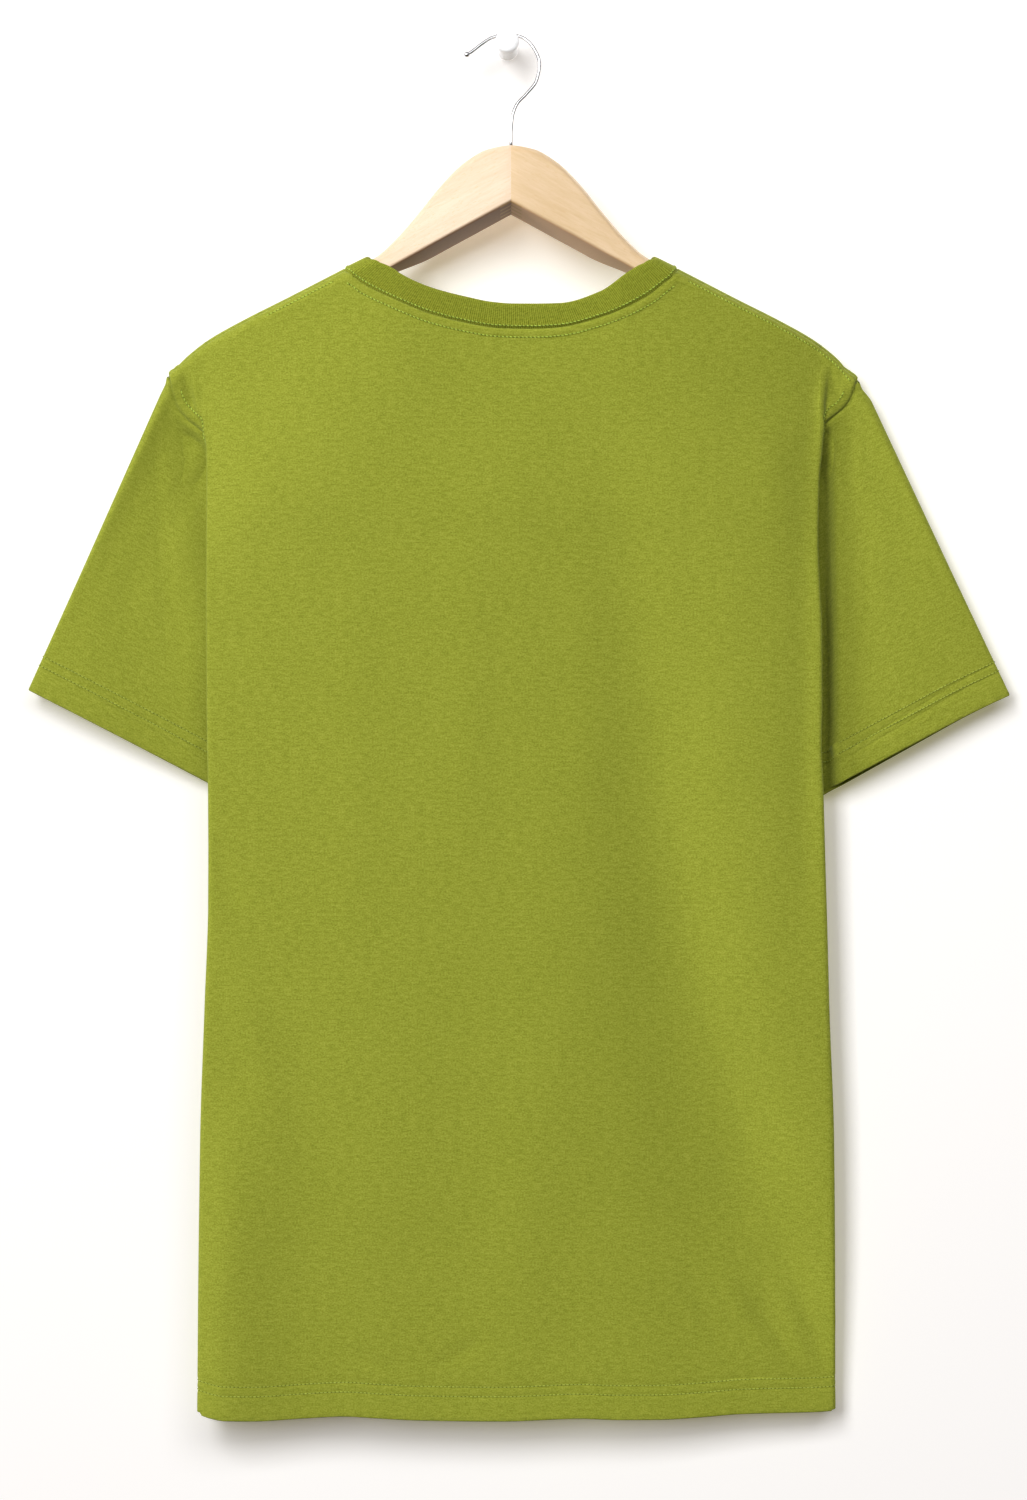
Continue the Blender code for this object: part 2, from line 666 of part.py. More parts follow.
def arm_outline(out):
    """Section of an arm across its length: bevelled foot, rounded crown."""
    half_height = (arm_top(out) - arm_foot(out)) / 2 / COS_LEAN
    half_thick = arm_thick(out) / 2
    crown = min(ARM_CROWN, half_height)
    bevel = min(ARM_BEVEL, half_height / 3)
    outline = [
        (-half_thick + bevel, -half_height),
        (-half_thick, -half_height + bevel),
    ]
    for i in range(ARM_CROWN_STEPS + 1):
        angle = math.pi * i / ARM_CROWN_STEPS
        across = -half_thick * math.cos(angle)
        outline.append((across, half_height - crown + crown * math.sin(angle)))
    outline += [
        (half_thick, -half_height + bevel),
        (half_thick - bevel, -half_height),
    ]
    return outline


def add_arm(name, side, finish):
    points = []
    for out in ARM_STATIONS:
        middle = (arm_top(out) + arm_foot(out)) / 2
        y = arm_y(out, middle)
        for across, up in arm_outline(out):
            points.append((
                MIDDLE + side * out,
                y + across * COS_LEAN + up * SIN_LEAN,
                middle + up * COS_LEAN - across * SIN_LEAN,
            ))
    size = len(points) // len(ARM_STATIONS)
    faces = [tuple(range(size)), tuple(range(len(points) - size, len(points)))]
    for s in range(len(ARM_STATIONS) - 1):
        for i in range(size):
            a = s * size + i
            b = s * size + (i + 1) % size
            faces.append((a, b, b + size, a + size))
    return add_mesh(name, points, faces, finish)


def add_hook(name, finish):
    """The wire: a tube along its route, with a small ball at its free end."""
    walked = [0.0]
    for (xa, za), (xb, zb) in zip(HOOK_ROUTE, HOOK_ROUTE[1:]):
        walked.append(walked[-1] + math.hypot(xb - xa, zb - za))
    route_x = curve_through(walked, [x for x, _ in HOOK_ROUTE])
    route_z = curve_through(walked, [z for _, z in HOOK_ROUTE])
    foot = ARM_SECTIONS[0].top + WIRE_GAP
    steps = np.linspace(0.0, walked[-1], HOOK_STEPS * len(HOOK_ROUTE))
    centres = [(float(route_x(s)), float(route_z(s))) for s in steps]
    centres.append((MIDDLE, foot))
    first = np.array(centres[0])
    heading = np.array(centres[1]) - first
    heading = heading / np.linalg.norm(heading)
    bulb = []
    for angle in np.radians(BULB_ANGLES):
        place = first - heading * WIRE_BULB * math.cos(angle)
        bulb.append((place[0], place[1], WIRE_BULB * math.sin(angle)))
    wire = [(x, z, WIRE_RADIUS) for x, z in centres if math.dist((x, z), first) > BULB_LENGTH]
    tube = bpy.data.curves.new(name, "CURVE")
    tube.dimensions = "3D"
    tube.bevel_depth = WIRE_RADIUS * MM
    tube.bevel_resolution = 2
    tube.use_fill_caps = True
    spline = tube.splines.new("POLY")
    spline.points.add(len(bulb + wire) - 1)
    slope = SIN_LEAN / COS_LEAN
    for point, (x, z, radius) in zip(spline.points, bulb + wire):
        y = WIRE_DEPTH + (z - HOOK_TOP) * slope
        point.co = (x * MM, y * MM, z * MM, 1.0)
        point.radius = radius / WIRE_RADIUS
    tube.materials.append(finish)
    made = bpy.data.objects.new(name, tube)
    bpy.context.collection.objects.link(made)
    return made


def add_peg(name, finish):
    """A turned knob with a waist for the wire; its back is the face on the wall."""
    points = []
    for y, radius in PEG_PROFILE:
        for i in range(PEG_SIDES):
            angle = 2 * math.pi * i / PEG_SIDES
            points.append((radius * math.cos(angle), y, radius * math.sin(angle)))
    last = len(points) - PEG_SIDES
    faces = [tuple(range(PEG_SIDES)), tuple(range(last, len(points)))]
    for r in range(len(PEG_PROFILE) - 1):
        for i in range(PEG_SIDES):
            a = r * PEG_SIDES + i
            b = r * PEG_SIDES + (i + 1) % PEG_SIDES
            faces.append((a, b, b + PEG_SIDES, a + PEG_SIDES))
    return add_mesh(name, points, faces, finish)


def build():
    for old in list(bpy.data.objects):
        bpy.data.objects.remove(old, do_unlink=True)
    jersey = {"colour": (0.305, 0.337, 0.04), "roughness": 0.92}
    beech = {"colour": (0.72, 0.50, 0.27), "roughness": 0.38}
    add_panel("back_panel", True, material("back_jersey", **jersey))
    add_panel("front_panel", False, material("front_jersey", **jersey))
    add_sleeve("sleeve_left", -1, material("left_sleeve_jersey", **jersey))
    add_sleeve("sleeve_right", 1, material("right_sleeve_jersey", **jersey))
    add_rib("neck_rib", material("rib_knit", (0.26, 0.284, 0.028), 0.94))
    add_arm("hanger_arm_left", -1, material("left_beech", **beech))
    add_arm("hanger_arm_right", 1, material("right_beech", **beech))
    add_hook("hanger_hook", material("hook_chrome", (0.62, 0.63, 0.64), 0.16, 1.0))
    add_peg("wall_peg", material("peg_white", (0.86, 0.86, 0.87), 0.25))


build()
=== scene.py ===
import json
import math

import bpy
import numpy as np
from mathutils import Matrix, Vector

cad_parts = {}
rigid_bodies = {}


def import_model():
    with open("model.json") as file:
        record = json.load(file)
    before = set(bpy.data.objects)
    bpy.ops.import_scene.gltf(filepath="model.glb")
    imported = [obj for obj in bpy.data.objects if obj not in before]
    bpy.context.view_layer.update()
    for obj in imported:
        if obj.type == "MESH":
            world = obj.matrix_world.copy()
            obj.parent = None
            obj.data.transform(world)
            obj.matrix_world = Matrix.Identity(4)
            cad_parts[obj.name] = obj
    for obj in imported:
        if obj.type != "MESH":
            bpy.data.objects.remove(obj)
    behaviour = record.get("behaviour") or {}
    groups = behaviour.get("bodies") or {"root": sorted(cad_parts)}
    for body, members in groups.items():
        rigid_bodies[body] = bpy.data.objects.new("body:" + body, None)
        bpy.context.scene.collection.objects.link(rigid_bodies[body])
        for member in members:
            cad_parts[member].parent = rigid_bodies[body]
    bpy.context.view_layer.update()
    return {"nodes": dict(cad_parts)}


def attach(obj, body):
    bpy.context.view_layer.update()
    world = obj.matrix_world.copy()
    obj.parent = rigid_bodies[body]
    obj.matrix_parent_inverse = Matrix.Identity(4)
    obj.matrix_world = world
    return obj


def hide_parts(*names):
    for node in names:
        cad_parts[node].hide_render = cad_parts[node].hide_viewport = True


for startObject in list(bpy.data.objects):
    bpy.data.objects.remove(startObject, do_unlink=True)

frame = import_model()
print("frame loaded:", len(frame["nodes"]), "nodes")

# Lengths are millimetres up to the point where a mesh is made.
# The wall is y = 0, the viewer stands at -y and sees the back of the shirt.
mm = 0.001

jersey = {
    "wall": 0.9,
    "halfChest": 275,         # laid flat, armpit to armpit, halved
    "foldRadius": 3,          # where a panel folds back behind itself
    "frontInset": 2,
    "seamGap": 0.4,
    "hemTurn": 1,             # radius of the turned edge
    "hemReach": 25,           # how far it is turned up inside
    "rowStep": 4.2,
    "edgePower": 5,           # how late the drape leaves its middle depth for its fold
    "heldDrop": 26,           # the cloth lies on the arms down to here
    "freeDrop": 150,          # and hangs freely from here
    "hemLed": 150,            # rows run with the hem up to here
    "topLed": 640,            # and with the top from here
    "topBlend": 14,
    "dropBand": (207, 236, 262, 310),  # where armholeDrop comes in and goes
    "backInset": 52,          # the folded-back cloth follows the drape this far in
    "backLed": (425, 520),
    "roll": 9,                # drop over which it turns down from the shoulder ridge
    "seamOver": 3.5,          # the shoulder seam lies this far down the back
    "clearance": 2,           # arm to the outside of the cloth
}

neck = {
    "middle": 2.5,
    "half": 110,
    "backLow": -190.9,
    "frontLow": -240,
    "ribHalf": 95.3,
    "ribBackLow": -174.8,
    "ribFrontLow": -223.5,
    "frontPower": 2.3,        # how flat the front's curve is
    "underRib": 72,
}
# share of the way out, share of the rise to the shoulder, for the seam and the rib's edge
neckRise = np.array([
    (-1, 1), (-0.94, 0.92), (-0.89, 0.81), (-0.806, 0.67), (-0.722, 0.555), (-0.656, 0.465),
    (-0.483, 0.264), (-0.245, 0.089), (-0.1, 0.02), (0.02, 0.004), (0.14, 0), (0.292, 0.028),
    (0.531, 0.202), (0.65, 0.33), (0.77, 0.504), (0.83, 0.612), (0.938, 0.864), (1, 1),
])
ribRise = np.array([
    (-1, 1), (-0.93, 0.985), (-0.9, 0.96), (-0.806, 0.81), (-0.764, 0.705), (-0.558, 0.385),
    (-0.282, 0.14), (-0.14, 0.045), (0.007, 0.004), (0.17, 0), (0.338, 0.012), (0.613, 0.283),
    (0.82, 0.775), (0.9, 0.93), (0.959, 0.985), (1, 1),
])

hanger = {
    "lean": 10,               # degrees that its foot stands away from the wall
    "reach": 213,
    "sweep": 0.16,
    "bend": 0.000375,
    "crown": 8,
    "bevel": 2,
    "joint": 0.01,
    "ridge": 4.5,             # how softly the two faces meet at the middle
    "stations": 110,
    "behind": 6.5,            # extra thickness on the wall's side of the broad middle
    "tilt": 2.2,              # and how far its underside drops towards the wall
    "broadEnd": (50, 84),
    "bevelPoints": 5,
    "crownPoints": 33,
}

# distance out, top, foot, thickness
armTable = np.array([
    (0, -69, -109.5, 20), (15, -71.4, -117.6, 20), (30, -79.6, -125.6, 20), (45, -94, -133.6, 20),
    (60, -112.6, -141.8, 20), (75, -130.4, -149.8, 20), (88, -142.3, -157, 20),
    (111, -153.3, -169.6, 19.5), (150, -172.4, -191, 17.5), (177, -185.4, -205.6, 16),
    (198, -197.2, -214, 13), (207, -203.4, -216, 11), (213, -208.6, -215.5, 7),
])

# distance out, height of the cloth's ridge
ridgeTable = np.array([
    (0, -96), (88, -139.6), (111, -150.6), (150, -169.7), (177, -182.7), (201, -195.6), (210, -202),
    (217.5, -208.5), (223, -215), (229, -221.5), (236, -231),
])

# height, left fold, right fold, near layer at its fold and middle, far layer the same
sectionTable = np.array([
    (-195, -205, 213, -27, -50, -5, -22), (-232, -202, 209, -28.5, -49.5, -4.6, -20),
    (-262, -199.5, 207.9, -31.5, -49, -4.3, -19), (-305, -199, 206.1, -35, -48, -4, -17),
    (-330, -199, 205.7, -36.2, -46.4, -4, -16.2), (-358, -199, 206.6, -37.2, -45.3, -4, -15.6),
    (-385, -198.9, 208, -37.8, -44.4, -4, -15), (-435, -198.6, 208.4, -38, -42.8, -4.1, -14),
    (-462, -198.2, 207.9, -38, -42.2, -4.1, -13.5), (-495, -197.6, 209, -38, -41.8, -4.2, -13),
    (-566, -197.4, 211, -37.6, -40.8, -4.6, -12), (-640, -200, 213, -37, -40, -5.2, -11.4),
    (-725, -202.8, 216, -36.6, -39.2, -6.2, -11), (-820, -204, 217, -36.2, -38.6, -7.2, -10.8),
    (-912, -204.8, 217.8, -36, -38.2, -8, -10.8),
])

# height at the fold, height at the seam, cloth between them, degrees turned behind the body
armholeTable = np.array([
    (-197.5, -222, 22.6, 5), (-200, -223.5, 22.5, 6), (-202.5, -225, 22.4, 7),
    (-205, -226.5, 22.2, 8), (-207.5, -228.5, 22, 9), (-211, -231, 21.6, 11), (-217, -235, 21, 15),
    (-225, -240, 19, 21), (-234, -246, 13.5, 33), (-243, -252, 9, 66), (-252, -258, 9.6, 122),
    (-262, -265, 12.5, 165), (-273, -274, 15.5, 180), (-291, -291, 21, 180), (-318, -318, 30, 180),
    (-350, -350, 43, 180), (-380, -380, 56, 180), (-400, -400, 65, 180),
    (-408.5, -408.5, 69.6, 180), (-415, -415, 75, 180),
])
armholeDrop = {-1: 4.5, 1: 0}     # how much lower the seam crosses the fold
armholeTop = -200
armpit = -415

# distance across, height of the hem's edge
hemTable = np.array([
    (-205, -905.4), (-198, -907.8), (-186, -909.8), (-165, -910.1), (-135, -908.6), (-108, -907.4),
    (-82, -908.8), (-56, -910), (-4, -910.6), (48, -908.9), (75, -909.8), (100, -909.8),
    (130, -908.4), (154, -906.8), (205, -906.1), (218, -905.2),
])
hemCorner = -904.5

# long folds: height, x of their line, width to the left and right, how far raised
backDrapes = [
    [(-200, 50, 30, 26, 0), (-316, 69, 34, 28, -3.3), (-368, 78, 36, 29, -5.4),
     (-434, 91, 40, 30, -7.5), (-500, 98, 44, 31, -9.6), (-566, 111, 50, 31, -12),
     (-632, 123, 56, 31, -14.4), (-698, 146, 66, 30, -15.9), (-764, 166, 78, 28, -15.6),
     (-817, 189, 88, 24, -14.1), (-883, 211, 96, 20, -11.4), (-914, 220, 96, 20, -10.5)],
    [(-250, 197, 14, 9, 0), (-290, 197, 14, 9, -2.2), (-500, 197.5, 15, 9, -2.2),
     (-570, 199, 15, 9, -1), (-630, 200, 15, 9, 0)],
    [(-680, -180, 17, 30, 0), (-740, -181, 17, 32, 4.2), (-811, -184, 17, 34, 6),
     (-883, -186, 17, 36, 6), (-914, -187, 17, 36, 5.4)],
]
frontDrapes = [
    [(-260, 30, 34, 28, 0), (-420, 38, 38, 30, -3), (-640, 50, 46, 34, -5.5),
     (-914, 60, 60, 40, -6)],
    [(-300, -80, 30, 36, 0), (-480, -92, 30, 40, 3.2), (-914, -104, 40, 50, 4)],
]

# shorter folds: top x and z, foot x and z, height (below zero a trough), width
backFolds = [
    (-70, -300, -84, -850, 2, 48),
    (-186, -583, -150, -731, 1.6, 13),
    (-197, -522, -176, -572, -1.6, 6),
    (-199, -384, -168, -400, -0.9, 4),
    (20, -620, 8, -880, 1.2, 22),
]
frontFolds = [
    (118, -300, 160, -890, 2.8, 26),
    (-168, -520, -128, -700, -2.4, 16),
    (170, -560, 150, -690, -1.8, 13),
]
# small wrinkles in the same columns
backWrinkles = [
    (137, -812, 184, -880, 1.5, 5),
    (157, -822, 192, -872, -1.4, 6),
    (174, -810, 203, -878, 1.3, 5),
    (190, -804, 214, -850, 1, 5),
    (134, -734, 164, -784, -1, 7),
    (-108, -864, -66, -880, -2, 4),
    (-50, -875, -14, -858, -1.6, 4),
    (112, -800, 146, -870, -0.7, 7),
    (-196, -560, -120, -600, 0.5, 7),
    (-150, -240, -176, -330, 0.6, 11),
    (160, -236, 188, -330, 0.6, 11),
    (-20, -250, -30, -560, 0.8, 16),
    (-100, -250, -104, -620, 0.7, 15),
    (30, -230, 34, -500, -0.7, 14),
    (120, -280, 126, -520, -0.6, 14),
]
armholeCreases = [
    (-209, -212, -201, -262, 1.6, 2.8),
    (-213, -222, -206.5, -268, -2.8, 3.2),
    (209, -214, 206.5, -280, 1.8, 3.4),
    (215, -214, 211.5, -270, -3.2, 3),
]
frontWrinkles = [
    (-190, -760, -120, -830, 0.9, 7),
    (190, -790, 120, -850, -0.9, 7),
    (40, -280, 60, -420, 0.9, 16),
    (-40, -270, -70, -410, -0.9, 15),
    (-150, -250, -170, -360, 0.8, 12),
]
# folds on the sleeves by side, near layer first
sleeveFolds = {
    -1: [
        [(-227, -228, -225, -330, 1.3, 4), (-231, -244, -226, -400, -1.2, 6.5),
         (-262, -300, -276, -420, 1.2, 16)],
        [(-240, -300, -262, -410, 1, 13)],
    ],
    1: [
        [(233, -226, 235, -300, 1.5, 3.6), (240, -262, 250, -380, 1.2, 11),
         (282, -270, 300, -480, 3.2, 34)],
        [(250, -300, 276, -410, 1, 13)],
    ],
}
# where a sleeve tucks in behind the body, both layers together, as in the long folds
sleeveTucks = {
    -1: [
        [(-230, -213, 8, 8, 0), (-256, -209, 9, 9, -6), (-300, -203, 10, 8, -7),
         (-345, -198, 12, 8, -4), (-400, -196, 14, 8, 0)],
        [(-236, -192, 34, 20, -2), (-300, -192, 52, 20, -11), (-400, -192, 68, 20, -15.5),
         (-520, -192, 72, 20, -15.5)]],
    1: [
        [(-226, 213, 8, 6, -4), (-262, 210, 11, 5.2, -22), (-300, 209, 11, 5.4, -36),
         (-420, 210, 11, 5.6, -38), (-520, 211, 11, 5.6, -36)],
        [(-250, 208, 20, 26, -1), (-330, 208, 20, 34, -3), (-520, 209, 20, 38, -3)]],
}

# cuff: outer x and z, inner x and z, depth at both, half gap, how far the front drops
cuffTable = {
    -1: (-317.8, -427.6, -163, -507, -17, -20, 6, 1),
    1: (330.5, -431, 170, -516, -17, -20, 6, 4),
}
sleeve = {
    "cornerShare": 0.03,
    "bulge": 1.6,
    "rows": 66,
    "columns": 84,            # on each of the two layers
    "underlap": ((-2.2, -1.7), (-0.4, -1.3), (0.25, -0.75)),  # rows that start under the body
    "besideTurn": (60, 120),
    "gap": 0.25,
    "puff": {-1: 0.6, 1: 3.6},  # how far its head stands out past the seam
    "crown": 0.25,            # share of the armhole, from the top, that stands out so
    "puffFrom": 0.06,         # share of the sleeve's length
    "sink": 0.55,             # how deep its seam lies
    "gather": 0.3,
    "gatherLength": 6.3,
    "headLines": (0.6, 1.5, 2.8, 4.6),
    "hemLines": (1, 5, 11),
    "stitchLines": (-1.3, -0.55, 0, 0.55, 1.3),
    "tuckDepth": (27, 34),    # the tucks end at this distance from the wall
    "farTuck": 0.35,          # share of them in the far layer
    "clearOfWall": (-6.5, -3.8), # what near and far layer keep
}

# wire route in the hanger's plane, ball end first
hookRoute = np.array([
    (-26.6, -7.6), (-23.2, -5.4), (-17.2, -0.6), (-9.4, 4.2), (0, 6.3), (9.6, 4.2), (17.6, -3.4),
    (21.4, -14), (19.4, -25), (12.4, -34.6), (6.2, -41.6), (3.4, -50), (2.5, -60),
])
hook = {
    "radius": 1.15, "ball": 1.9, "depth": -27, "steps": 150, "sides": 20, "into": 3,
    "ballAngles": (6, 143, 12),  # from and to, in degrees, and how many rings
    "ballNeck": 1.6,          # the wire's own rings begin this far from the ball
    "shank": 6,               # the last of them stand this far above its foot
}

sinLean = math.sin(math.radians(hanger["lean"]))
cosLean = math.cos(math.radians(hanger["lean"]))
hookTop = float(hookRoute[:, 1].max())


def curveThrough(knots, values):
    # smooth function through the knots that never swings past them
    order = np.argsort(knots)
    xs = np.asarray(knots, float)[order]
    ys = np.asarray(values, float)[order]
    step = np.diff(xs)
    slope = np.diff(ys) / step
    tangent = np.zeros_like(ys)
    for i in range(1, len(xs) - 1):
        if slope[i - 1] * slope[i] > 0:
            before = step[i - 1] + 2 * step[i]
            after = 2 * step[i - 1] + step[i]
            tangent[i] = (before + after) / (before / slope[i - 1] + after / slope[i])
    tangent[0] = slope[0]
    tangent[-1] = slope[-1]

    def at(x):
        x = np.clip(x, xs[0], xs[-1])
        i = np.clip(np.searchsorted(xs, x, side="right") - 1, 0, len(step) - 1)
        t = (x - xs[i]) / step[i]
        rise = ys[i] * (1 + 2 * t) * (1 - t) ** 2 + ys[i + 1] * t * t * (3 - 2 * t)
        return rise + step[i] * (tangent[i] * t * (1 - t) ** 2 - tangent[i + 1] * t * t * (1 - t))

    return at


def outward(isBack):
    return 1.0 if isBack else -1.0


def smoothStep(value, low, high):
    t = np.clip((value - low) / (high - low), 0.0, 1.0)
    return t * t * (3.0 - 2.0 * t)


mirrored = np.concatenate([armTable[3:0:-1, 0] * -1, armTable[:, 0]])     # level at the middle
armTop = curveThrough(mirrored, np.concatenate([armTable[3:0:-1, 1], armTable[:, 1]]))
armFoot, armThick = (curveThrough(armTable[:, 0], armTable[:, i]) for i in (2, 3))
ridgeZ = curveThrough(ridgeTable[:, 0], ridgeTable[:, 1])
leftEdge, rightEdge, nearEdge, nearMid, farEdge, farMid = (
    curveThrough(sectionTable[:, 0], sectionTable[:, i]) for i in range(1, 7))
seamAt, reachAt, turnAt = (curveThrough(armholeTable[:, 0], armholeTable[:, i]) for i in (1, 2, 3))
hemZ = curveThrough(hemTable[:, 0], hemTable[:, 1])
seamRise = curveThrough(neckRise[:, 0], neckRise[:, 1])
edgeRise = curveThrough(ribRise[:, 0], ribRise[:, 1])


def armY(out, z):
    # depth of an arm's middle plane, with the hanger's lean
    eased = np.sqrt(out * out + hanger["ridge"] ** 2) - hanger["ridge"]
    sweep = hanger["sweep"] * eased + hanger["bend"] * out * out
    height = (z - hookTop + sweep * sinLean) / cosLean
    return hook["depth"] + sweep * cosLean + height * sinLean


def shoulderNear(out):
    out = np.clip(out, neck["underRib"], hanger["reach"])
    return armY(out, armFoot(out)) - armThick(out) / 2 * cosLean - jersey["clearance"]


def shoulderFar(out):
    out = np.clip(out, neck["ribHalf"], hanger["reach"])
    return armY(out, armTop(out)) + armThick(out) / 2 * cosLean + jersey["clearance"]


def crownY(out):
    out = np.clip(out, neck["ribHalf"], hanger["reach"])
    return armY(out, ridgeZ(out))


def foldLift(folds, x, z):
    lift = 0.0
    for topX, topZ, footX, footZ, height, width in folds:
        runX = footX - topX
        runZ = footZ - topZ
        length = math.hypot(runX, runZ)
        along = ((x - topX) * runX + (z - topZ) * runZ) / length ** 2
        across = ((x - topX) * runZ - (z - topZ) * runX) / length
        ends = smoothStep(along, -0.1, 0.4) * (1 - smoothStep(along, 0.7, 1.15))
        lift = lift + height * ends * np.exp(-((across / width) ** 2))
    return lift


def drapeCurves(tables):
    columns = [list(zip(*table)) for table in tables]
    return [[curveThrough(heights, values) for values in others] for heights, *others in columns]


def drapeLift(curves, x, z):
    lift = 0.0
    for line, left, right, height in curves:
        off = x - line(z)
        lift = lift + height(z) * np.exp(-(off / np.where(off < 0, left(z), right(z))) ** 2)
    return lift


nearDrapes, farDrapes = drapeCurves(backDrapes), drapeCurves(frontDrapes)
tuckCurves = {side: drapeCurves(tables) for side, tables in sleeveTucks.items()}


def ripple(x, z, phase):
    # the slight unevenness of washed jersey
    lift = 0.2 * np.sin(x / 15.0 + z / 170.0 + phase) * (0.6 + 0.4 * np.sin(z / 83.0 + 2 * phase))
    lift = lift + 0.07 * np.sin(x / 9.5 - z / 47.0 + 3 * phase) * np.sin(z / 29.0 + x / 33.0)
    return lift


def layerY(x, z, edge, mid, shoulder):
    centre = (leftEdge(z) + rightEdge(z)) / 2
    half = (rightEdge(z) - leftEdge(z)) / 2
    across = np.clip(np.abs(x - centre) / half, 0.0, 1.0)
    hanging = mid(z) + (edge(z) - mid(z)) * across ** jersey["edgePower"]
    out = np.abs(x - neck["middle"])
    free = smoothStep(ridgeZ(out) - z, jersey["heldDrop"], jersey["freeDrop"])
    return shoulder(out) + (hanging - shoulder(out)) * free


def nearY(x, z):
    return (layerY(x, z, nearEdge, nearMid, shoulderNear) - foldLift(backFolds, x, z)
            - drapeLift(nearDrapes, x, z))


def farY(x, z):
    return (layerY(x, z, farEdge, farMid, shoulderFar) + foldLift(frontFolds, x, z)
            + drapeLift(farDrapes, x, z))


def rollOver(x, nominalZ, near, far, isBack):
    # a height past the shoulder ridge is on its other side
    out = np.abs(x - neck["middle"])
    drop = ridgeZ(out) - nominalZ
    onBack = np.where(drop >= 0, isBack, not isBack)
    drop = np.abs(drop)
    angle = np.clip(drop / jersey["roll"], 0.0, 1.0) * math.pi / 2
    z = ridgeZ(out) - np.where(drop < jersey["roll"], jersey["roll"] * (1 - np.cos(angle)), drop)
    crown = crownY(out)
    side = np.where(onBack, near, far)
    return np.stack([x + 0 * z, crown + (side - crown) * np.sin(angle), z], axis=-1)


def hang(x, nominalZ, isBack):
    return rollOver(x, nominalZ, nearY(x, nominalZ), farY(x, nominalZ), isBack)


def seamOver(isBack):
    return -jersey["seamOver"] if isBack else jersey["seamOver"] - jersey["seamGap"]


def neckCurve(x, isBack, half, low, rise):
    high = ridgeZ(half) + seamOver(isBack)
    share = np.clip((x - neck["middle"]) / half, -1.0, 1.0)
    return low + (high - low) * (rise(share) if isBack else np.abs(share) ** neck["frontPower"])


def neckSeam(x, isBack):
    low = neck["backLow" if isBack else "frontLow"]
    return neckCurve(x, isBack, neck["half"], low, seamRise)


def ribEdge(x, isBack):
    low = neck["ribBackLow" if isBack else "ribFrontLow"]
    return neckCurve(x, isBack, neck["ribHalf"], low, edgeRise)


def topEdge(x, isBack):
    out = np.abs(x - neck["middle"])
    return np.where(out < neck["half"], neckSeam(x, isBack), ridgeZ(out) + seamOver(isBack))


def foldPath(distance, turn, quarter, total):
    # plan path of the cloth past the body's fold: how far out, how far back, heading
    radius = jersey["foldRadius"]
    turn = math.radians(turn)
    arc = radius * turn
    sideStart = total - quarter * math.pi / 2
    onArc = np.minimum(distance, arc) / radius
    straight = np.clip(np.minimum(distance, sideStart) - arc, 0.0, None)
    bend = np.clip(distance - sideStart, 0.0, None) / quarter
    out = radius * np.sin(onArc) + straight * math.cos(turn) - quarter * np.sin(bend)
    back = radius * (1 - np.cos(onArc)) + straight * math.sin(turn) + quarter * (1 - np.cos(bend))
    return out, back, onArc - bend


def foldBase(side, z, isBack):
    edge = rightEdge(z) if side > 0 else leftEdge(z)
    inset = jersey["foldRadius"] + (0.0 if isBack else jersey["frontInset"])
    x = edge - side * inset
    return x, nearY(x, z) if isBack else farY(x, z)


def topFold(side, isBack):
    # height of the shoulder seam where it crosses the fold
    return float(topEdge(foldBase(side, armholeTop, isBack)[0], isBack))


def sideStrip(side, foldZ, isBack, shares):
    # one row past the fold, shares of the way to the seam; also distances left to the seam
    seamZ, reach, turn = foldZ, 0.0, 180.0
    if foldZ > armpit:
        seamZ, reach, turn = float(seamAt(foldZ)), float(reachAt(foldZ)), float(turnAt(foldZ))
        inside, low, high, outside = jersey["dropBand"]
        band = smoothStep(-foldZ, inside, low) * (1 - smoothStep(-foldZ, high, outside))
        seamZ -= armholeDrop[side] * float(band)
    bases = {back: foldBase(side, foldZ, back) for back in (True, False)}
    baseX = bases[isBack][0]
    room = (bases[False][1] - bases[True][1]) / 2 - 2 * jersey["foldRadius"]
    quarter = room - jersey["seamGap"] / 2
    centre = (leftEdge(foldZ) + rightEdge(foldZ)) / 2
    edge = rightEdge(foldZ) if side > 0 else leftEdge(foldZ)
    total = jersey["halfChest"] - abs(baseX - centre)
    reach = total if foldZ <= armpit else reach + (0.0 if isBack else jersey["frontInset"])
    arc = jersey["foldRadius"] * math.radians(turn)
    distance = np.where(shares < 0, (1 + shares) * arc, arc + (reach - arc) * shares)
    out, back, heading = foldPath(distance, turn, quarter, total)
    z = foldZ + (seamZ - foldZ) * distance / reach
    high = topFold(side, isBack)
    atTop = smoothStep(foldZ, high - jersey["topBlend"], high)
    z = z + (topEdge(baseX + side * out, isBack) - (high - foldZ) - z) * atTop
    # the cloth behind a fold keeps off the drape in front of it
    bend = np.clip(distance - (total - quarter * math.pi / 2), 0.0, None) / quarter
    x = baseX + side * out
    inner = edge - side * jersey["backInset"]
    layers = ((nearY, bases[True][1], 1.0), (farY, bases[False][1], -1.0))
    shared = sum(layer(inner, foldZ) - base for layer, base, _ in layers) / 2
    follow = float(smoothStep(-foldZ, *jersey["backLed"]))
    turned = smoothStep(bend, 0.0, math.pi / 2)
    sides = []
    for layer, base, sign in layers:
        moved = layer(x, z) - base
        sides.append(base + sign * back + follow * (moved + (shared - moved) * turned))
    points = rollOver(x, z, *sides, isBack)
    inward = outward(isBack)
    angle = heading[-1]
    along = np.array([side * math.cos(angle), inward * math.sin(angle), 0.0])
    outside = np.array([side * math.sin(angle), -inward * math.cos(angle), 0.0])
    return points, reach - distance, along, outside


# Mesh helpers

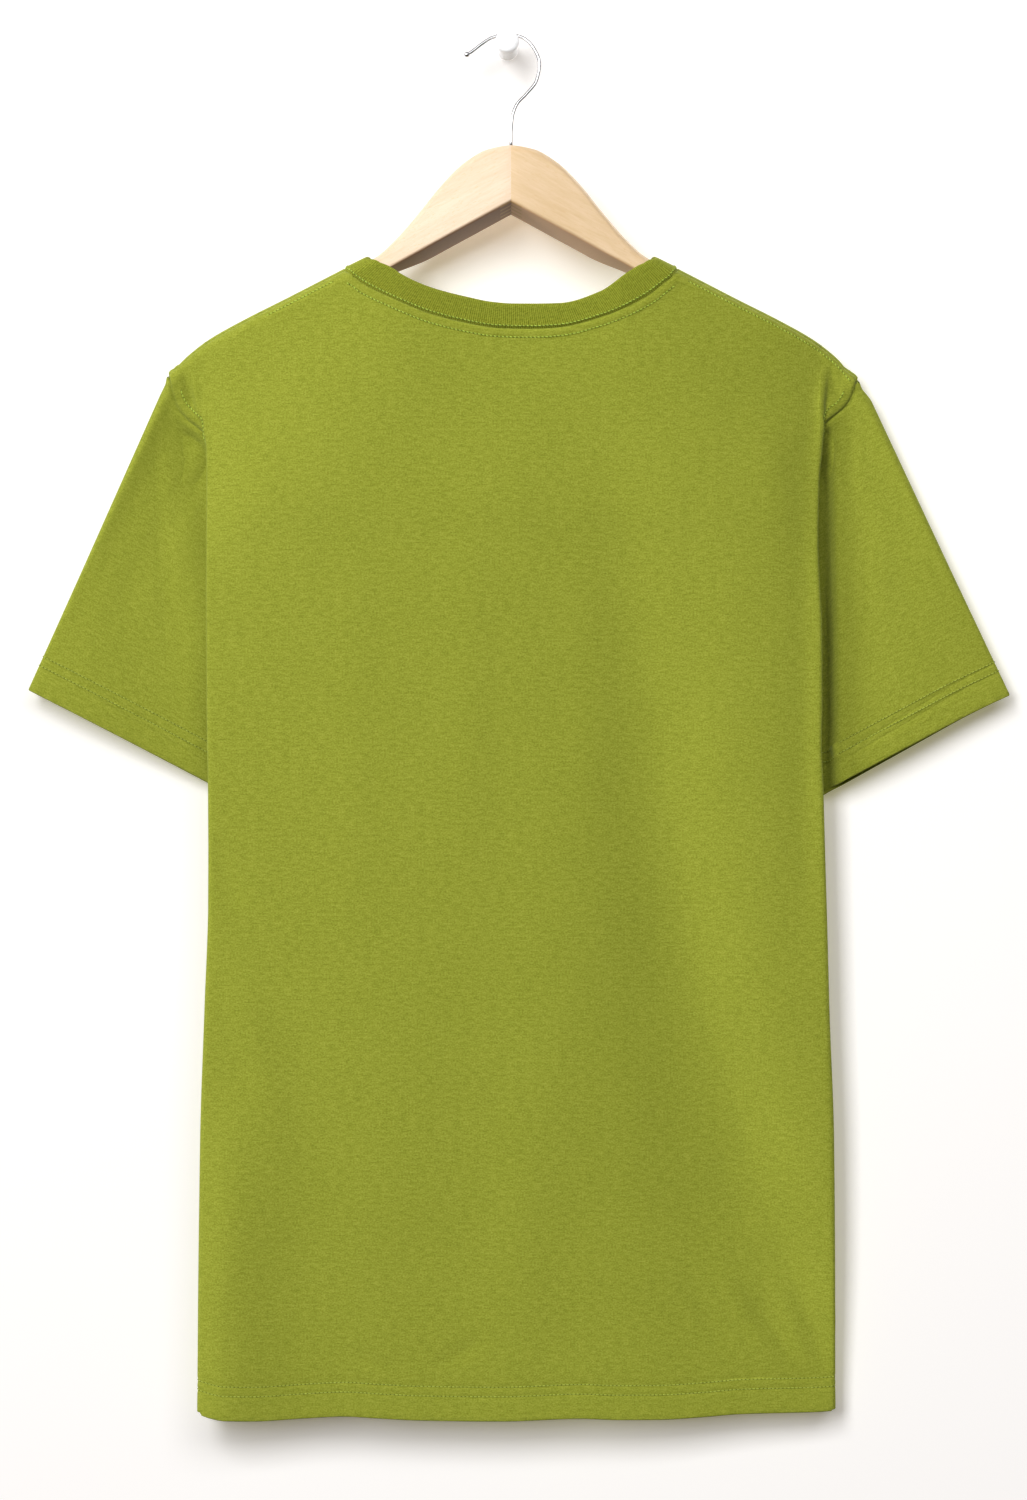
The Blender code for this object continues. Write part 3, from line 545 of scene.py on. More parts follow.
def pathLength(points):
    # distance walked to each point of a line
    return np.concatenate([[0.0], np.cumsum(np.linalg.norm(np.diff(points, axis=0), axis=1))])


def gridNormals(grid, closed):
    if closed:
        along = np.roll(grid, -1, axis=1) - np.roll(grid, 1, axis=1)
    else:
        along = np.gradient(grid, axis=1)
    normal = np.cross(along, np.gradient(grid, axis=0))
    return normal / np.maximum(np.linalg.norm(normal, axis=2, keepdims=True), 1e-9)


def walkedAcross(grid):
    steps = np.linalg.norm(np.diff(grid, axis=1), axis=2)
    return np.concatenate([np.zeros((len(grid), 1)), np.cumsum(steps, axis=1)], axis=1)


def clothUv(grid):
    # cloth distances in metres round a closed piece: across, and up from the first row
    up = walkedAcross(grid.swapaxes(0, 1)).T
    return np.stack([walkedAcross(grid), up], axis=2) * mm


def uprightUv(grid):
    # the same for a panel whose courses run level, from its middle column
    level = walkedAcross(grid[..., :2])
    level -= level[:, level.shape[1] // 2][:, None]
    return np.stack([level, grid[..., 2]], axis=2) * mm


def addObject(name, data):
    made = bpy.data.objects.new(name, data)
    bpy.context.scene.collection.objects.link(made)
    return made


def makeObject(name, points, faces, uv=None, edges=()):
    mesh = bpy.data.meshes.new(name)
    mesh.from_pydata((np.asarray(points) * mm).tolist(), list(edges), faces)
    if uv is not None:
        layer = mesh.uv_layers.new(name="cloth")
        corners = np.empty(len(mesh.loops), dtype=np.int32)
        mesh.loops.foreach_get("vertex_index", corners)
        layer.uv.foreach_set("vector", np.asarray(uv, dtype=np.float32)[corners].ravel())
    if faces:
        mesh.polygons.foreach_set("use_smooth", [True] * len(mesh.polygons))
    return addObject(name, mesh)


def quads(index):
    corners = [index[:-1, :-1], index[:-1, 1:], index[1:, 1:], index[1:, :-1]]
    return np.stack(corners, axis=-1).reshape(-1, 4)


def tubeFaces(rings, sides):
    # quads between the rings of a tube, then its two end caps
    faces = []
    for s in range(rings - 1):
        for i in range(sides):
            a, b = s * sides + i, s * sides + (i + 1) % sides
            faces.append((a, b, b + sides, a + sides))
    last = (rings - 1) * sides
    return faces + [tuple(range(sides))[::-1], tuple(range(last, last + sides))]


def clothWall(name, grid, outsideSign, uv, closed=False):
    # the grid is the cloth's outside, and its inside lies one wall behind
    inside = grid - gridNormals(grid, closed) * outsideSign * jersey["wall"]
    points = np.concatenate([grid.reshape(-1, 3), inside.reshape(-1, 3)])
    behind = grid.shape[0] * grid.shape[1]
    index = np.arange(behind).reshape(grid.shape[:2])
    if closed:
        index = np.concatenate([index, index[:, :1]], axis=1)
    outer = quads(index)
    rims = [index[0], index[-1][::-1]]
    if not closed:
        rims += [index[::-1, 0], index[:, -1]]
    rims = [np.stack([rim[:-1], rim[:-1] + behind, rim[1:] + behind, rim[1:]], axis=-1)
            for rim in rims]
    faces = np.concatenate([outer, outer[:, ::-1] + behind] + rims)
    if outsideSign < 0:
        faces = faces[:, ::-1]
    return makeObject(name, points, faces.tolist(), np.tile(uv.reshape(-1, 2), (2, 1)))


def bandRise(distance, width, height, dip=0.45):
    # a seam allowance shows as a low raised band beside its seam, and dips into it
    rise = height * (1 - smoothStep(distance, width - 1.2, width + 1.2))
    return rise - (height + dip) * (1 - smoothStep(distance, 0.0, 1.5))


def stitchDip(distance):
    return -seams["dip"] * np.exp(-((distance / 0.9) ** 2))


def waveOver(walked, length):
    return np.sin(2 * math.pi * walked / length)


# Body panels

seams = {
    "neckBand": 6, "neckRise": 0.55,
    "armholeBand": 7, "armholeRise": 0.8, "armholeDip": 0.7,
    "shoulderBand": 4, "shoulderRise": 0.35,
    "hemRows": (16.6, 22.9),  # stitch rows above the edge
    "cuffRows": (18.2, 24.6),
    "neckRow": 5.6,
    "shoulderRow": 2.4,
    "armholeRow": 5.2,
    "tip": 1.5,               # the armhole seam's end at the shoulder
    "dip": 0.28,
    "pucker": 0.16, "puckerLength": 5.4,
    "armholePucker": 7,
    "away": 99.0,             # distance given where there is no seam
}
panel = {
    "hemLines": (3.5, 8, 12.5),  # rows of the mesh above the hem
    "topLines": (13, 10, 8.4, 7.2, 6.6, 6.2, 5.8, 5.2, 4, 2.9, 2, 1.3, 0.6, 0),
    "stitchLines": (-1.5, -0.6, 0, 0.6, 1.5),
    "topReach": 16,           # the even rows end this far below the top
    "shoulderColumns": 27,
    "neckColumns": 61,
    "neckBunch": 1.35,        # how close the columns stand at the neck's corners
    "stripColumns": 24,       # in the part past each fold
    "calmTop": (6, 60),       # wrinkles fade towards the top and the hem
    "calmHem": (20, 60),
    "calmShare": 0.25,        # to this share of their height
    "creasesFrom": (3, 7),
    "ripplePhase": {True: 0.4, False: 2.1},
}


def rowHeights():
    # heights above the hem's corner, closer together at the hem, its stitches and the top
    full = armholeTop - hemCorner
    fine = [jersey["hemTurn"], *panel["hemLines"]]
    for row in seams["hemRows"]:
        fine += [row + line for line in panel["stitchLines"]]
    start, end = fine[-1] + jersey["rowStep"], full - panel["topReach"]
    middle = list(np.linspace(start, end, int((end - start) / jersey["rowStep"])))
    return np.array(fine + middle + [full - line for line in panel["topLines"]])


def panelGrid(isBack):
    # rows of points, with their distances to the armhole seam and to the top
    strip = np.concatenate([np.linspace(0.0, 1.0, 16)[:-1] ** 0.85, [0.955, 0.985, 1.0]])
    strip = np.unique(np.concatenate([np.linspace(-1.0, 0.0, 8)[1:-1], strip]))
    leftTop, rightTop = (foldBase(side, armholeTop, isBack)[0] for side in (-1, 1))
    bunched = np.sin(np.linspace(-1, 1, panel["neckColumns"]) * panel["neckBunch"])
    across = np.concatenate([
        np.linspace(leftTop, neck["middle"] - neck["half"], panel["shoulderColumns"])[:-1],
        neck["middle"] + neck["half"] * bunched / math.sin(panel["neckBunch"]),
        np.linspace(neck["middle"] + neck["half"], rightTop, panel["shoulderColumns"])[1:],
    ])
    shares = (across - leftTop) / (rightTop - leftTop)
    full = armholeTop - hemCorner
    grid, toSeam, toTop = [], [], []
    for height in rowHeights():
        follow = smoothStep(height, jersey["hemLed"], jersey["topLed"])
        sideZ = [hemCorner + height + (topFold(side, isBack) - armholeTop) * follow
                 for side in (-1, 1)]
        xLeft, xRight = (foldBase(side, z, isBack)[0] for side, z in zip((-1, 1), sideZ))
        x = xLeft + shares * (xRight - xLeft)
        low = hemZ(x)
        z = low + height + ((topEdge(x, isBack) - low) - full) * follow
        left, right = (sideStrip(side, z, isBack, strip) for side, z in zip((-1, 1), sideZ))
        leftSeam, rightSeam = (near[1] if z > armpit else np.full(len(strip), seams["away"])
                               for near, z in zip((left, right), sideZ))
        grid.append(np.concatenate([left[0][::-1], hang(x, z, isBack), right[0]]))
        toSeam.append(np.concatenate([leftSeam[::-1], np.full(len(x), seams["away"]), rightSeam]))
        below = np.full(len(strip), full - height)
        toTop.append(np.concatenate([below, topEdge(x, isBack) - z, below]))
    return np.array(grid), np.array(toSeam), np.array(toTop)


def squareOff(x, distance, isBack, part=1.0):
    # a drop below the neck seam as a distance square to it
    slope = np.abs(neckSeam(x + 0.5, isBack) - neckSeam(x - 0.5, isBack))
    return distance / np.sqrt(1 + (slope * part) ** 2)


def dressPanel(grid, toSeam, toTop, isBack):
    # small wrinkles, raised seam bands and stitch dips, pushed along the cloth's outside
    normal = gridNormals(grid, False) * outward(isBack)
    x, z = grid[..., 0], grid[..., 2]
    calm = smoothStep(toTop, *panel["calmTop"]) * smoothStep(z - hemCorner, *panel["calmHem"])
    lift = foldLift(backWrinkles if isBack else frontWrinkles, x, z)
    lift = lift + ripple(x, z, panel["ripplePhase"][isBack])
    lift = lift * (panel["calmShare"] + (1 - panel["calmShare"]) * calm)
    lift = lift + foldLift(armholeCreases, x, z) * smoothStep(toSeam, *panel["creasesFrom"])
    out = np.abs(x - neck["middle"])
    inNeck = 1 - smoothStep(out, neck["half"] - 1.0, neck["half"] + 1.0)
    square = squareOff(x, toTop, isBack, inNeck)
    neckLift = bandRise(square, seams["neckBand"], seams["neckRise"])
    neckLift += stitchDip(square - seams["neckRow"])
    shoulderLift = bandRise(square, seams["shoulderBand"], seams["shoulderRise"])
    lift = lift + neckLift * inNeck + shoulderLift * (1 - inNeck)
    # puckers beside the stitches of the neck, the armholes and the hem
    pucker = waveOver(x + 0.6 * z, seams["puckerLength"]) * (0.6 + 0.4 * np.sin(x / 13.0))
    beside = np.exp(-((square - seams["neckRow"] - 1.0) / 2.2) ** 2)
    lift += seams["pucker"] * pucker * inNeck * beside
    lift += bandRise(toSeam, seams["armholeBand"], seams["armholeRise"], seams["armholeDip"])
    tip = np.exp(-(((toSeam - 2.0) / 2.6) ** 2)) * (1 - smoothStep(toTop, 0.0, 10.0))
    lift += seams["tip"] * tip
    beside = np.exp(-((toSeam - 5.6) / 2.4) ** 2)
    lift += 2.0 * seams["pucker"] * waveOver(z * 1.3 + x, seams["armholePucker"]) * beside
    up = z - hemZ(x)
    for row in seams["hemRows"]:
        lift += stitchDip(up - row)
        wave = np.sin(2 * math.pi * x / seams["puckerLength"] + row)
        wave = wave * (0.5 + 0.5 * np.sin(x / 23.0 + row))
        lift += seams["pucker"] * wave * np.exp(-((up - row) / 1.8) ** 2)
    return grid + normal * lift[..., None]


def turnHem(grid, outsideSign, closed, up):
    # the sheet goes on round its lower edge and up again inside; up is the way from the edge
    normal = gridNormals(grid, closed)[0] * outsideSign
    base, radius = grid[0], jersey["hemTurn"]
    rows = [base - normal * 2 * radius + up * (height - radius)
            for height in (jersey["hemReach"], jersey["hemReach"] * 0.5, radius)]
    for angle in np.radians((35.0, 70.0, 110.0, 145.0)):
        depth = radius * (1 + math.cos(angle))
        rows.append(base - normal * depth - up * radius * math.sin(angle))
    return np.concatenate([np.array(rows), grid])


def makePanel(name, isBack):
    grid, toSeam, toTop = panelGrid(isBack)
    grid = dressPanel(grid, toSeam, toTop, isBack)
    sheetGrid = turnHem(grid, outward(isBack), False, np.array([0.0, 0.0, 1.0]))
    return clothWall(name, sheetGrid, outward(isBack), uprightUv(sheetGrid)), grid, toSeam


# Sleeves

def armholeLine(side, isBack, count):
    # points down the armhole seam, the way the sleeve leaves each and the way under it
    table = armholeTable[armholeTable[:, 0] < topFold(side, isBack) - 0.5]
    table = np.concatenate([table[:1], table])
    table[0, 0] = topFold(side, isBack)
    walked = np.hypot(np.diff(table[:, 1]), np.diff(table[:, 2]) * 0.6)
    walked = np.concatenate([[0.0], np.cumsum(np.maximum(walked, 1.2))])
    foldOf = curveThrough(walked / walked[-1], table[:, 0])
    line = []
    for foldZ in foldOf(np.linspace(0.0, 1.0, count)):
        points, _, along, outside = sideStrip(side, max(float(foldZ), armpit + 0.01), isBack,
                                              np.array([1.0]))
        beside = smoothStep(float(turnAt(foldZ)), *sleeve["besideTurn"])
        line.append((points[-1], along * (1 - beside) + outside * beside,
                     outside * (1 - beside) - along * beside))
    return line


def bothLayers(values):
    return np.concatenate([values, values[::-1]])


def sleeveGrid(side):
    # the armhole's own line, down the back panel's edge and up the front's, drawn to the cuff
    count = sleeve["columns"]
    line = armholeLine(side, True, count) + armholeLine(side, False, count)[::-1]
    seam, ways, unders = (np.array(part) for part in zip(*line))
    start = seam + ways * sleeve["gap"]
    length = pathLength(seam[:count])
    outerX, outerZ, innerX, innerZ, outerY, innerY, halfGap, drop = cuffTable[side]
    corner = sleeve["cornerShare"]
    angle = math.pi * (corner + (1 - 2 * corner) * length / length[-1])
    place = (1 - np.cos(angle)) / 2
    plump = np.sqrt(np.sin(angle)) * halfGap
    back = np.stack([outerX + (innerX - outerX) * place,
                     outerY + (innerY - outerY) * place - plump,
                     outerZ + (innerZ - outerZ) * place], axis=-1)
    end = bothLayers(back)
    end[count:] += np.stack([0 * place, 2 * plump, -drop * place], axis=-1)[::-1]
    isNear = np.arange(2 * count) < count
    facing = np.where(isNear, -1.0, 1.0)
    swell = bothLayers(np.sin(np.linspace(0.0, math.pi, count)))
    crownShare = bothLayers(np.linspace(0.0, 1.0, count))
    walk = np.linspace(0.0, length[-1], count)
    gather = bothLayers(waveOver(walk, sleeve["gatherLength"]) * (0.5 + 0.5 * np.sin(walk / 11.0)))
    puff = sleeve["puff"][side] * (1 - smoothStep(crownShare, 0.0, sleeve["crown"]))
    reach = np.linalg.norm(end[0] - start[0])
    hemShare = [1 - d / reach for d in sleeve["hemLines"]]
    for row in seams["cuffRows"]:
        hemShare += [1 - (row + d) / reach for d in sleeve["stitchLines"]]
    rows = np.concatenate([
        [d / reach for d in sleeve["headLines"]],
        np.linspace(7.0 / reach, min(hemShare) - 0.015, sleeve["rows"]), sorted(hemShare)])
    grid = [seam + ways * a + unders * b for a, b in sleeve["underlap"]]
    for share in rows:
        ring = start + (end - start) * share
        fromSeam, fromCuff = share * reach, (1 - share) * reach
        ring[:, 0] += side * puff * smoothStep(share, 0.0, sleeve["puffFrom"])
        tip = seams["tip"] * math.exp(-(((fromSeam - 1.0) / 2.6) ** 2))
        tip = tip * (1 - smoothStep(crownShare, 0.0, 0.09))
        ring += tip[:, None] * np.array([0.55 * side, 0.0, 0.8])
        sink = sleeve["sink"] * (1 - smoothStep(fromSeam, 0.0, 2.4))
        crimp = sleeve["gather"] * gather * math.exp(-((fromSeam - 3.0) / 3.0) ** 2)
        ring += unders * (crimp - sink)[:, None]
        ring[:, 1] += facing * swell * sleeve["bulge"] * math.sin(math.pi * share)
        calm = math.sin(math.pi * min(share * 1.05, 1.0)) ** 0.6
        for layer, part in ((0, slice(0, count)), (1, slice(count, 2 * count))):
            x, z = ring[part, 0], ring[part, 2]
            lift = foldLift(sleeveFolds[side][layer], x, z)
            lift = lift + 0.8 * ripple(x, z, 1.3 * side + layer)
            ring[part, 1] += facing[part] * lift * swell[part] ** 0.5 * calm
        tuck = drapeLift(tuckCurves[side], ring[:, 0], ring[:, 2])
        tuck = tuck * smoothStep(fromSeam, 1.0, 12.0)
        tuck = tuck * (1 - smoothStep(-ring[:, 1], *sleeve["tuckDepth"]))
        tuck = tuck * np.where(isNear, 1.0, sleeve["farTuck"])
        room = np.maximum(np.where(isNear, *sleeve["clearOfWall"]) - ring[:, 1], 0.01)
        ring[:, 1] += room * (1 - np.exp(tuck / room))
        dip = sum(float(stitchDip(fromCuff - row)) for row in seams["cuffRows"])
        ring[:, 1] += facing * dip
        grid.append(ring)
    return np.array(grid)


def makeSleeve(name, side):
    grid = sleeveGrid(side)
    flip = grid[::-1]
    up = flip[3] - flip[0]
    up = up / np.linalg.norm(up, axis=1, keepdims=True)
    sheetGrid = turnHem(flip, -float(side), True, up)
    return clothWall(name, sheetGrid, -float(side), clothUv(sheetGrid), closed=True), grid


# Neck rib

rib = {
    "wall": 2.1,
    "pitch": 1.25,
    "depth": 0.2,
    "proud": 0.8,
    "sink": 2.3,              # how far it dips under its seam
    "innerRidges": 0.35,      # their share at the folded edge
    "rows": 12,
    "perRib": 4,              # columns of the mesh for each rib
}


def ribStations(isBack):
    # places from -1 to 1 that are evenly spaced along one half of the band
    coarse = np.linspace(-1.0, 1.0, 801)
    x = neck["middle"] + neck["ribHalf"] * coarse
    walked = pathLength(hang(x, ribEdge(x, isBack), isBack))
    count = int(round(walked[-1] / rib["pitch"])) * rib["perRib"]
    even = np.interp(np.linspace(0.0, walked[-1], count, endpoint=False), walked, coarse)
    return even * outward(isBack)


def makeRib():
    # outer face, folded edge and inner face as one loop, carried round the neck
    halves = [(ribStations(isBack), isBack) for isBack in (True, False)]
    shares = np.concatenate([[-0.16, -0.04], np.linspace(0.03, 0.96, rib["rows"])])
    outer = []
    for share in shares:
        ring = []
        for along, isBack in halves:
            seamX = neck["middle"] + neck["half"] * along
            edgeX = neck["middle"] + neck["ribHalf"] * along
            low = neckSeam(seamX, isBack)
            rise = (ribEdge(edgeX, isBack) - low) * share
            ring.append(hang(seamX + (edgeX - seamX) * share, low + rise, isBack))
        outer.append(np.concatenate(ring))
    outer = np.array(outer)
    normal = gridNormals(outer, True)
    lift = rib["proud"] - rib["sink"] * (1 - smoothStep(shares, -0.04, 0.06))
    outer = outer + normal * lift[:, None, None]
    edgeWay = outer[-1] - outer[-2]
    edgeWay /= np.linalg.norm(edgeWay, axis=1, keepdims=True)
    half = rib["wall"] / 2
    centre = outer[-1] - normal[-1] * half
    bend = [centre + half * (normal[-1] * math.cos(a) + edgeWay * math.sin(a))
            for a in np.radians((36.0, 72.0, 108.0, 144.0))]
    section = np.concatenate([outer, bend, (outer - normal * rib["wall"])[::-1][:-1]])
    rows, columns, _ = section.shape
    index = np.arange(rows * columns).reshape(rows, columns)
    index = np.concatenate([index, index[:, :1]], axis=1)
    index = np.concatenate([index, index[:1]], axis=0)
    made = makeObject("neckRib", section.reshape(-1, 3), quads(index).tolist(),
                      clothUv(section).reshape(-1, 2))
    fade = smoothStep(shares, 0.0, 0.08) * (1 - 0.6 * smoothStep(shares, 0.8, 1.0))
    fade = np.concatenate([fade, np.full(len(bend), rib["innerRidges"]), fade[::-1][1:]])
    for label, values in (("ribCount", np.tile(np.arange(columns) / rib["perRib"], rows)),
                          ("ribbed", np.repeat(fade, columns))):
        attribute = made.data.attributes.new(label, "FLOAT", "POINT")
        attribute.data.foreach_set("value", values.astype(np.float32))
    return made, outer


# Nodes

def setInputs(tree, node, inputs):
    # sockets among the inputs are linked, and other values are set
    for label, value in inputs.items():
        if hasattr(value, "links"):
            tree.links.new(value, node.inputs[label])
        else:
            node.inputs[label].default_value = value


def addNode(tree, kind, inputs=None, **settings):
    node = tree.nodes.new(kind)
    for label, value in settings.items():
        setattr(node, label, value)
    setInputs(tree, node, inputs or {})
    return node


def mathNode(tree, operation, *values, **settings):
    inputs = dict(enumerate(values))
    return addNode(tree, "ShaderNodeMath", inputs, operation=operation, **settings).outputs[0]


def nodeTree(name, inputs):
    tree = bpy.data.node_groups.new(name, "GeometryNodeTree")
    sockets = {}
    for label, kind, value in [("Geometry", "Geometry", None)] + inputs:
        socket = tree.interface.new_socket(label, in_out="INPUT", socket_type="NodeSocket" + kind)
        if value is not None:
            socket.default_value = value
        sockets[label] = socket.identifier
    tree.interface.new_socket("Geometry", in_out="OUTPUT", socket_type="NodeSocketGeometry")
    given = tree.nodes.new("NodeGroupInput").outputs
    return tree, given, tree.nodes.new("NodeGroupOutput").inputs["Geometry"], sockets


def scaledBy(tree, vector, factor):
    inputs = {0: vector, "Scale": factor}
    return addNode(tree, "ShaderNodeVectorMath", inputs, operation="SCALE").outputs[0]


def finished(tree, geometry, material):
    real = addNode(tree, "GeometryNodeRealizeInstances", {0: geometry}).outputs[0]
    inputs = {"Geometry": real, "Material": material}
    return addNode(tree, "GeometryNodeSetMaterial", inputs).outputs[0]


def ribTree():
    # ridges across the band: every point moves along its normal by a wave of the rib count
    tree, given, end, sockets = nodeTree("ribRidges", [
        ("Depth", "Float", rib["depth"] * mm),
        ("Finish", "Material", None),
    ])
    count, mask = (
        addNode(tree, "GeometryNodeInputNamedAttribute", {"Name": label}, data_type="FLOAT")
        .outputs["Attribute"] for label in ("ribCount", "ribbed"))
    wave = mathNode(tree, "COSINE", mathNode(tree, "MULTIPLY", count, 2 * math.pi))
    depth = mathNode(tree, "MULTIPLY", mathNode(tree, "MULTIPLY", wave, mask), given["Depth"])
    normal = addNode(tree, "GeometryNodeInputNormal").outputs[0]
    moved = addNode(tree, "GeometryNodeSetPosition",
                    {"Geometry": given["Geometry"], "Offset": scaledBy(tree, normal, depth)})
    tree.links.new(finished(tree, moved.outputs[0], given["Finish"]), end)
    return tree, sockets


def stitchTree():
    # a thread dash on every step of a path, and halfway to the next a dark bead of painted shade
    # where the needle hole is
    tree, given, end, sockets = nodeTree("stitchRow", [
        ("Pitch", "Float", 2.6 * mm),
        ("Dash", "Float", 2.1 * mm),
        ("Thread", "Float", 0.36 * mm),
        ("Hole", "Float", 0.4 * mm),
        ("Slant", "Float", 0.0),
        ("Unevenness", "Float", 0.14),
        ("Seed", "Int", 7),
        ("Thread Finish", "Material", None),
        ("Hole Shade Finish", "Material", None),
    ])
    path = addNode(tree, "GeometryNodeMeshToCurve", {"Mesh": given["Geometry"]}).outputs["Curve"]
    half = mathNode(tree, "MULTIPLY", given["Pitch"], 0.5)
    even = addNode(tree, "GeometryNodeResampleCurve", {"Curve": path, "Length": half},
                   mode="LENGTH").outputs["Curve"]
    odd = mathNode(tree, "MODULO", addNode(tree, "GeometryNodeInputIndex").outputs[0], 2.0)
    tangent = addNode(tree, "GeometryNodeInputTangent").outputs[0]
    align = addNode(tree, "FunctionNodeAlignRotationToVector", {"Vector": tangent}, axis="X")
    turn = addNode(tree, "FunctionNodeAxisAngleToRotation",
                   {"Axis": (0.0, 1.0, 0.0), "Angle": given["Slant"]})
    slant = addNode(tree, "FunctionNodeRotateRotation",
                    {"Rotation": align.outputs[0], "Rotate By": turn.outputs[0]},
                    rotation_space="GLOBAL")
    most = mathNode(tree, "ADD", 1.0, given["Unevenness"])
    least = mathNode(tree, "SUBTRACT", 1.0, given["Unevenness"])
    dash = mathNode(tree, "MULTIPLY", given["Dash"], 0.5)
    both = tree.nodes.new("GeometryNodeJoinGeometry")
    # dashes of thread, and dark beads of painted shade at the needle holes
    for test, length, width, finish in (
            ("LESS_THAN", dash, given["Thread"], "Thread Finish"),
            ("GREATER_THAN", given["Hole"], given["Hole"], "Hole Shade Finish")):
        bead = addNode(tree, "GeometryNodeMeshUVSphere", {"Segments": 6, "Rings": 4, "Radius": 1.0})
        vary = addNode(tree, "FunctionNodeRandomValue", {2: least, 3: most, "Seed": given["Seed"]},
                       data_type="FLOAT").outputs[1]
        size = addNode(tree, "ShaderNodeCombineXYZ", {0: length, 1: width, 2: width}).outputs[0]
        place = addNode(tree, "GeometryNodeInstanceOnPoints", {
            "Points": even, "Selection": mathNode(tree, test, odd, 0.5),
            "Instance": bead.outputs["Mesh"], "Rotation": slant.outputs[0],
            "Scale": scaledBy(tree, size, vary)})
        tree.links.new(finished(tree, place.outputs["Instances"], given[finish]), both.inputs[0])
    tree.links.new(both.outputs[0], end)
    return tree, sockets


def settle(piece, tree, sockets, values):
    # run the tree once and keep its result as a plain mesh
    modifier = piece.modifiers.new("nodes", "NODES")
    modifier.node_group = tree
    for label, value in values.items():
        modifier[sockets[label]] = value
    graph = bpy.context.evaluated_depsgraph_get()
    mesh = bpy.data.meshes.new_from_object(piece.evaluated_get(graph), depsgraph=graph)
    piece.modifiers.remove(modifier)
    old = piece.data
    piece.data = mesh
    bpy.data.meshes.remove(old)
    mesh.name = piece.name
    mesh.polygons.foreach_set("use_smooth", [True] * len(mesh.polygons))
    return piece


# Finishes

def newFinish(name, values):
    # values that don't vary go straight to the shader's inputs
    made = bpy.data.materials.new(name)
    made.use_nodes = True
    shader = made.node_tree.nodes["Principled BSDF"]
    setInputs(made.node_tree, shader, values)
    return made, made.node_tree, shader


def noiseOf(tree, where, scale, detail, roughness=0.5):
    near = addNode(tree, "ShaderNodeMapping", {"Vector": where, "Scale": scale}).outputs["Vector"]
    return addNode(tree, "ShaderNodeTexNoise", {"Vector": near, "Scale": 1.0, "Detail": detail,
                                                "Roughness": roughness}).outputs["Fac"]


def waveOf(tree, where, direction, scale):
    return addNode(tree, "ShaderNodeTexWave", {"Vector": where, "Scale": scale},
                   bands_direction=direction).outputs["Fac"]


def rampOf(tree, value, stops):
    node = addNode(tree, "ShaderNodeValToRGB", {"Fac": value})
    ramp = node.color_ramp
    while len(ramp.elements) < len(stops):
        ramp.elements.new(0.5)
    for element, (place, colour) in zip(ramp.elements, stops):
        element.position = place
        element.color = (*colour, 1.0)
    return node.outputs["Color"]


def bumpOf(tree, height, strength, distance):
    return addNode(tree, "ShaderNodeBump", {"Height": height, "Strength": strength,
                                            "Distance": distance}).outputs["Normal"]


def mixOf(tree, factor, first, colour):
    # from a socket's colour towards a fixed one
    return addNode(tree, "ShaderNodeMix", {"B": (*colour, 1.0), "Factor": factor, "A": first},
                   data_type="RGBA").outputs["Result"]


knit = {
    "dark": (0.153, 0.174, 0.014),
    "middle": (0.204, 0.227, 0.022),
    "light": (0.258, 0.282, 0.035),
    "streak": (170, 520, 1),  # per metre: slubs run along the courses
    "grain": (880, 1080, 1),
    "cloud": (26, 20, 1),
    "wales": 500,
    "courses": 620,
    "ribDark": (0.098, 0.116, 0.007),
    "ribMiddle": (0.172, 0.192, 0.015),
    "ribLight": (0.236, 0.258, 0.028),
    "ribGrain": (700, 700, 1),
    "ribCourses": 560,
    "surface": {"Roughness": 0.95, "Specular IOR Level": 0.1, "Sheen Weight": 0.26,
                "Sheen Roughness": 0.45, "Sheen Tint": (0.66, 0.78, 0.30, 1)},
}


def jerseyFinish():
    made, tree, shader = newFinish("jersey", knit["surface"])
    where = addNode(tree, "ShaderNodeUVMap", uv_map="cloth").outputs["UV"]
    streak = noiseOf(tree, where, knit["streak"], 3.0, 0.6)
    grain = noiseOf(tree, where, knit["grain"], 1.0)
    cloud = noiseOf(tree, where, knit["cloud"], 2.0)
    mixed = mathNode(tree, "MULTIPLY", streak, 0.4)
    mixed = mathNode(tree, "MULTIPLY_ADD", grain, 0.55, mixed)
    mixed = mathNode(tree, "MULTIPLY_ADD", cloud, 0.05, mixed)
    colour = rampOf(tree, mixed, [(0.36, knit["dark"]), (0.5, knit["middle"]),
                                  (0.64, knit["light"])])
    wales = waveOf(tree, where, "X", knit["wales"])
    loops = mathNode(tree, "MULTIPLY", wales, waveOf(tree, where, "Y", knit["courses"]))
    loops = mathNode(tree, "MULTIPLY_ADD", grain, 0.8, loops)
    setInputs(tree, shader, {"Base Color": colour, "Normal": bumpOf(tree, loops, 0.35, 0.00018)})
    return made


def ribFinish():
    made, tree, shader = newFinish("ribKnit", knit["surface"])
    where = addNode(tree, "ShaderNodeUVMap", uv_map="cloth").outputs["UV"]
    grain = noiseOf(tree, where, knit["ribGrain"], 1.0)
    count = addNode(tree, "ShaderNodeAttribute", attribute_name="ribCount").outputs["Fac"]
    # painted shade: the rib count's wave also darkens the colour in the grooves between the ribs
    wave = mathNode(tree, "COSINE", mathNode(tree, "MULTIPLY", count, 2 * math.pi))
    mixed = mathNode(tree, "MULTIPLY_ADD", wave, 0.15, mathNode(tree, "MULTIPLY", grain, 0.7))
    colour = rampOf(tree, mixed, [(0.12, knit["ribDark"]), (0.36, knit["ribMiddle"]),
                                  (0.6, knit["ribLight"])])
    loops = waveOf(tree, where, "Y", knit["ribCourses"])
    loops = mathNode(tree, "MULTIPLY_ADD", loops, 0.3, grain)
    setInputs(tree, shader, {"Base Color": colour, "Normal": bumpOf(tree, loops, 0.2, 0.00012)})
    return made


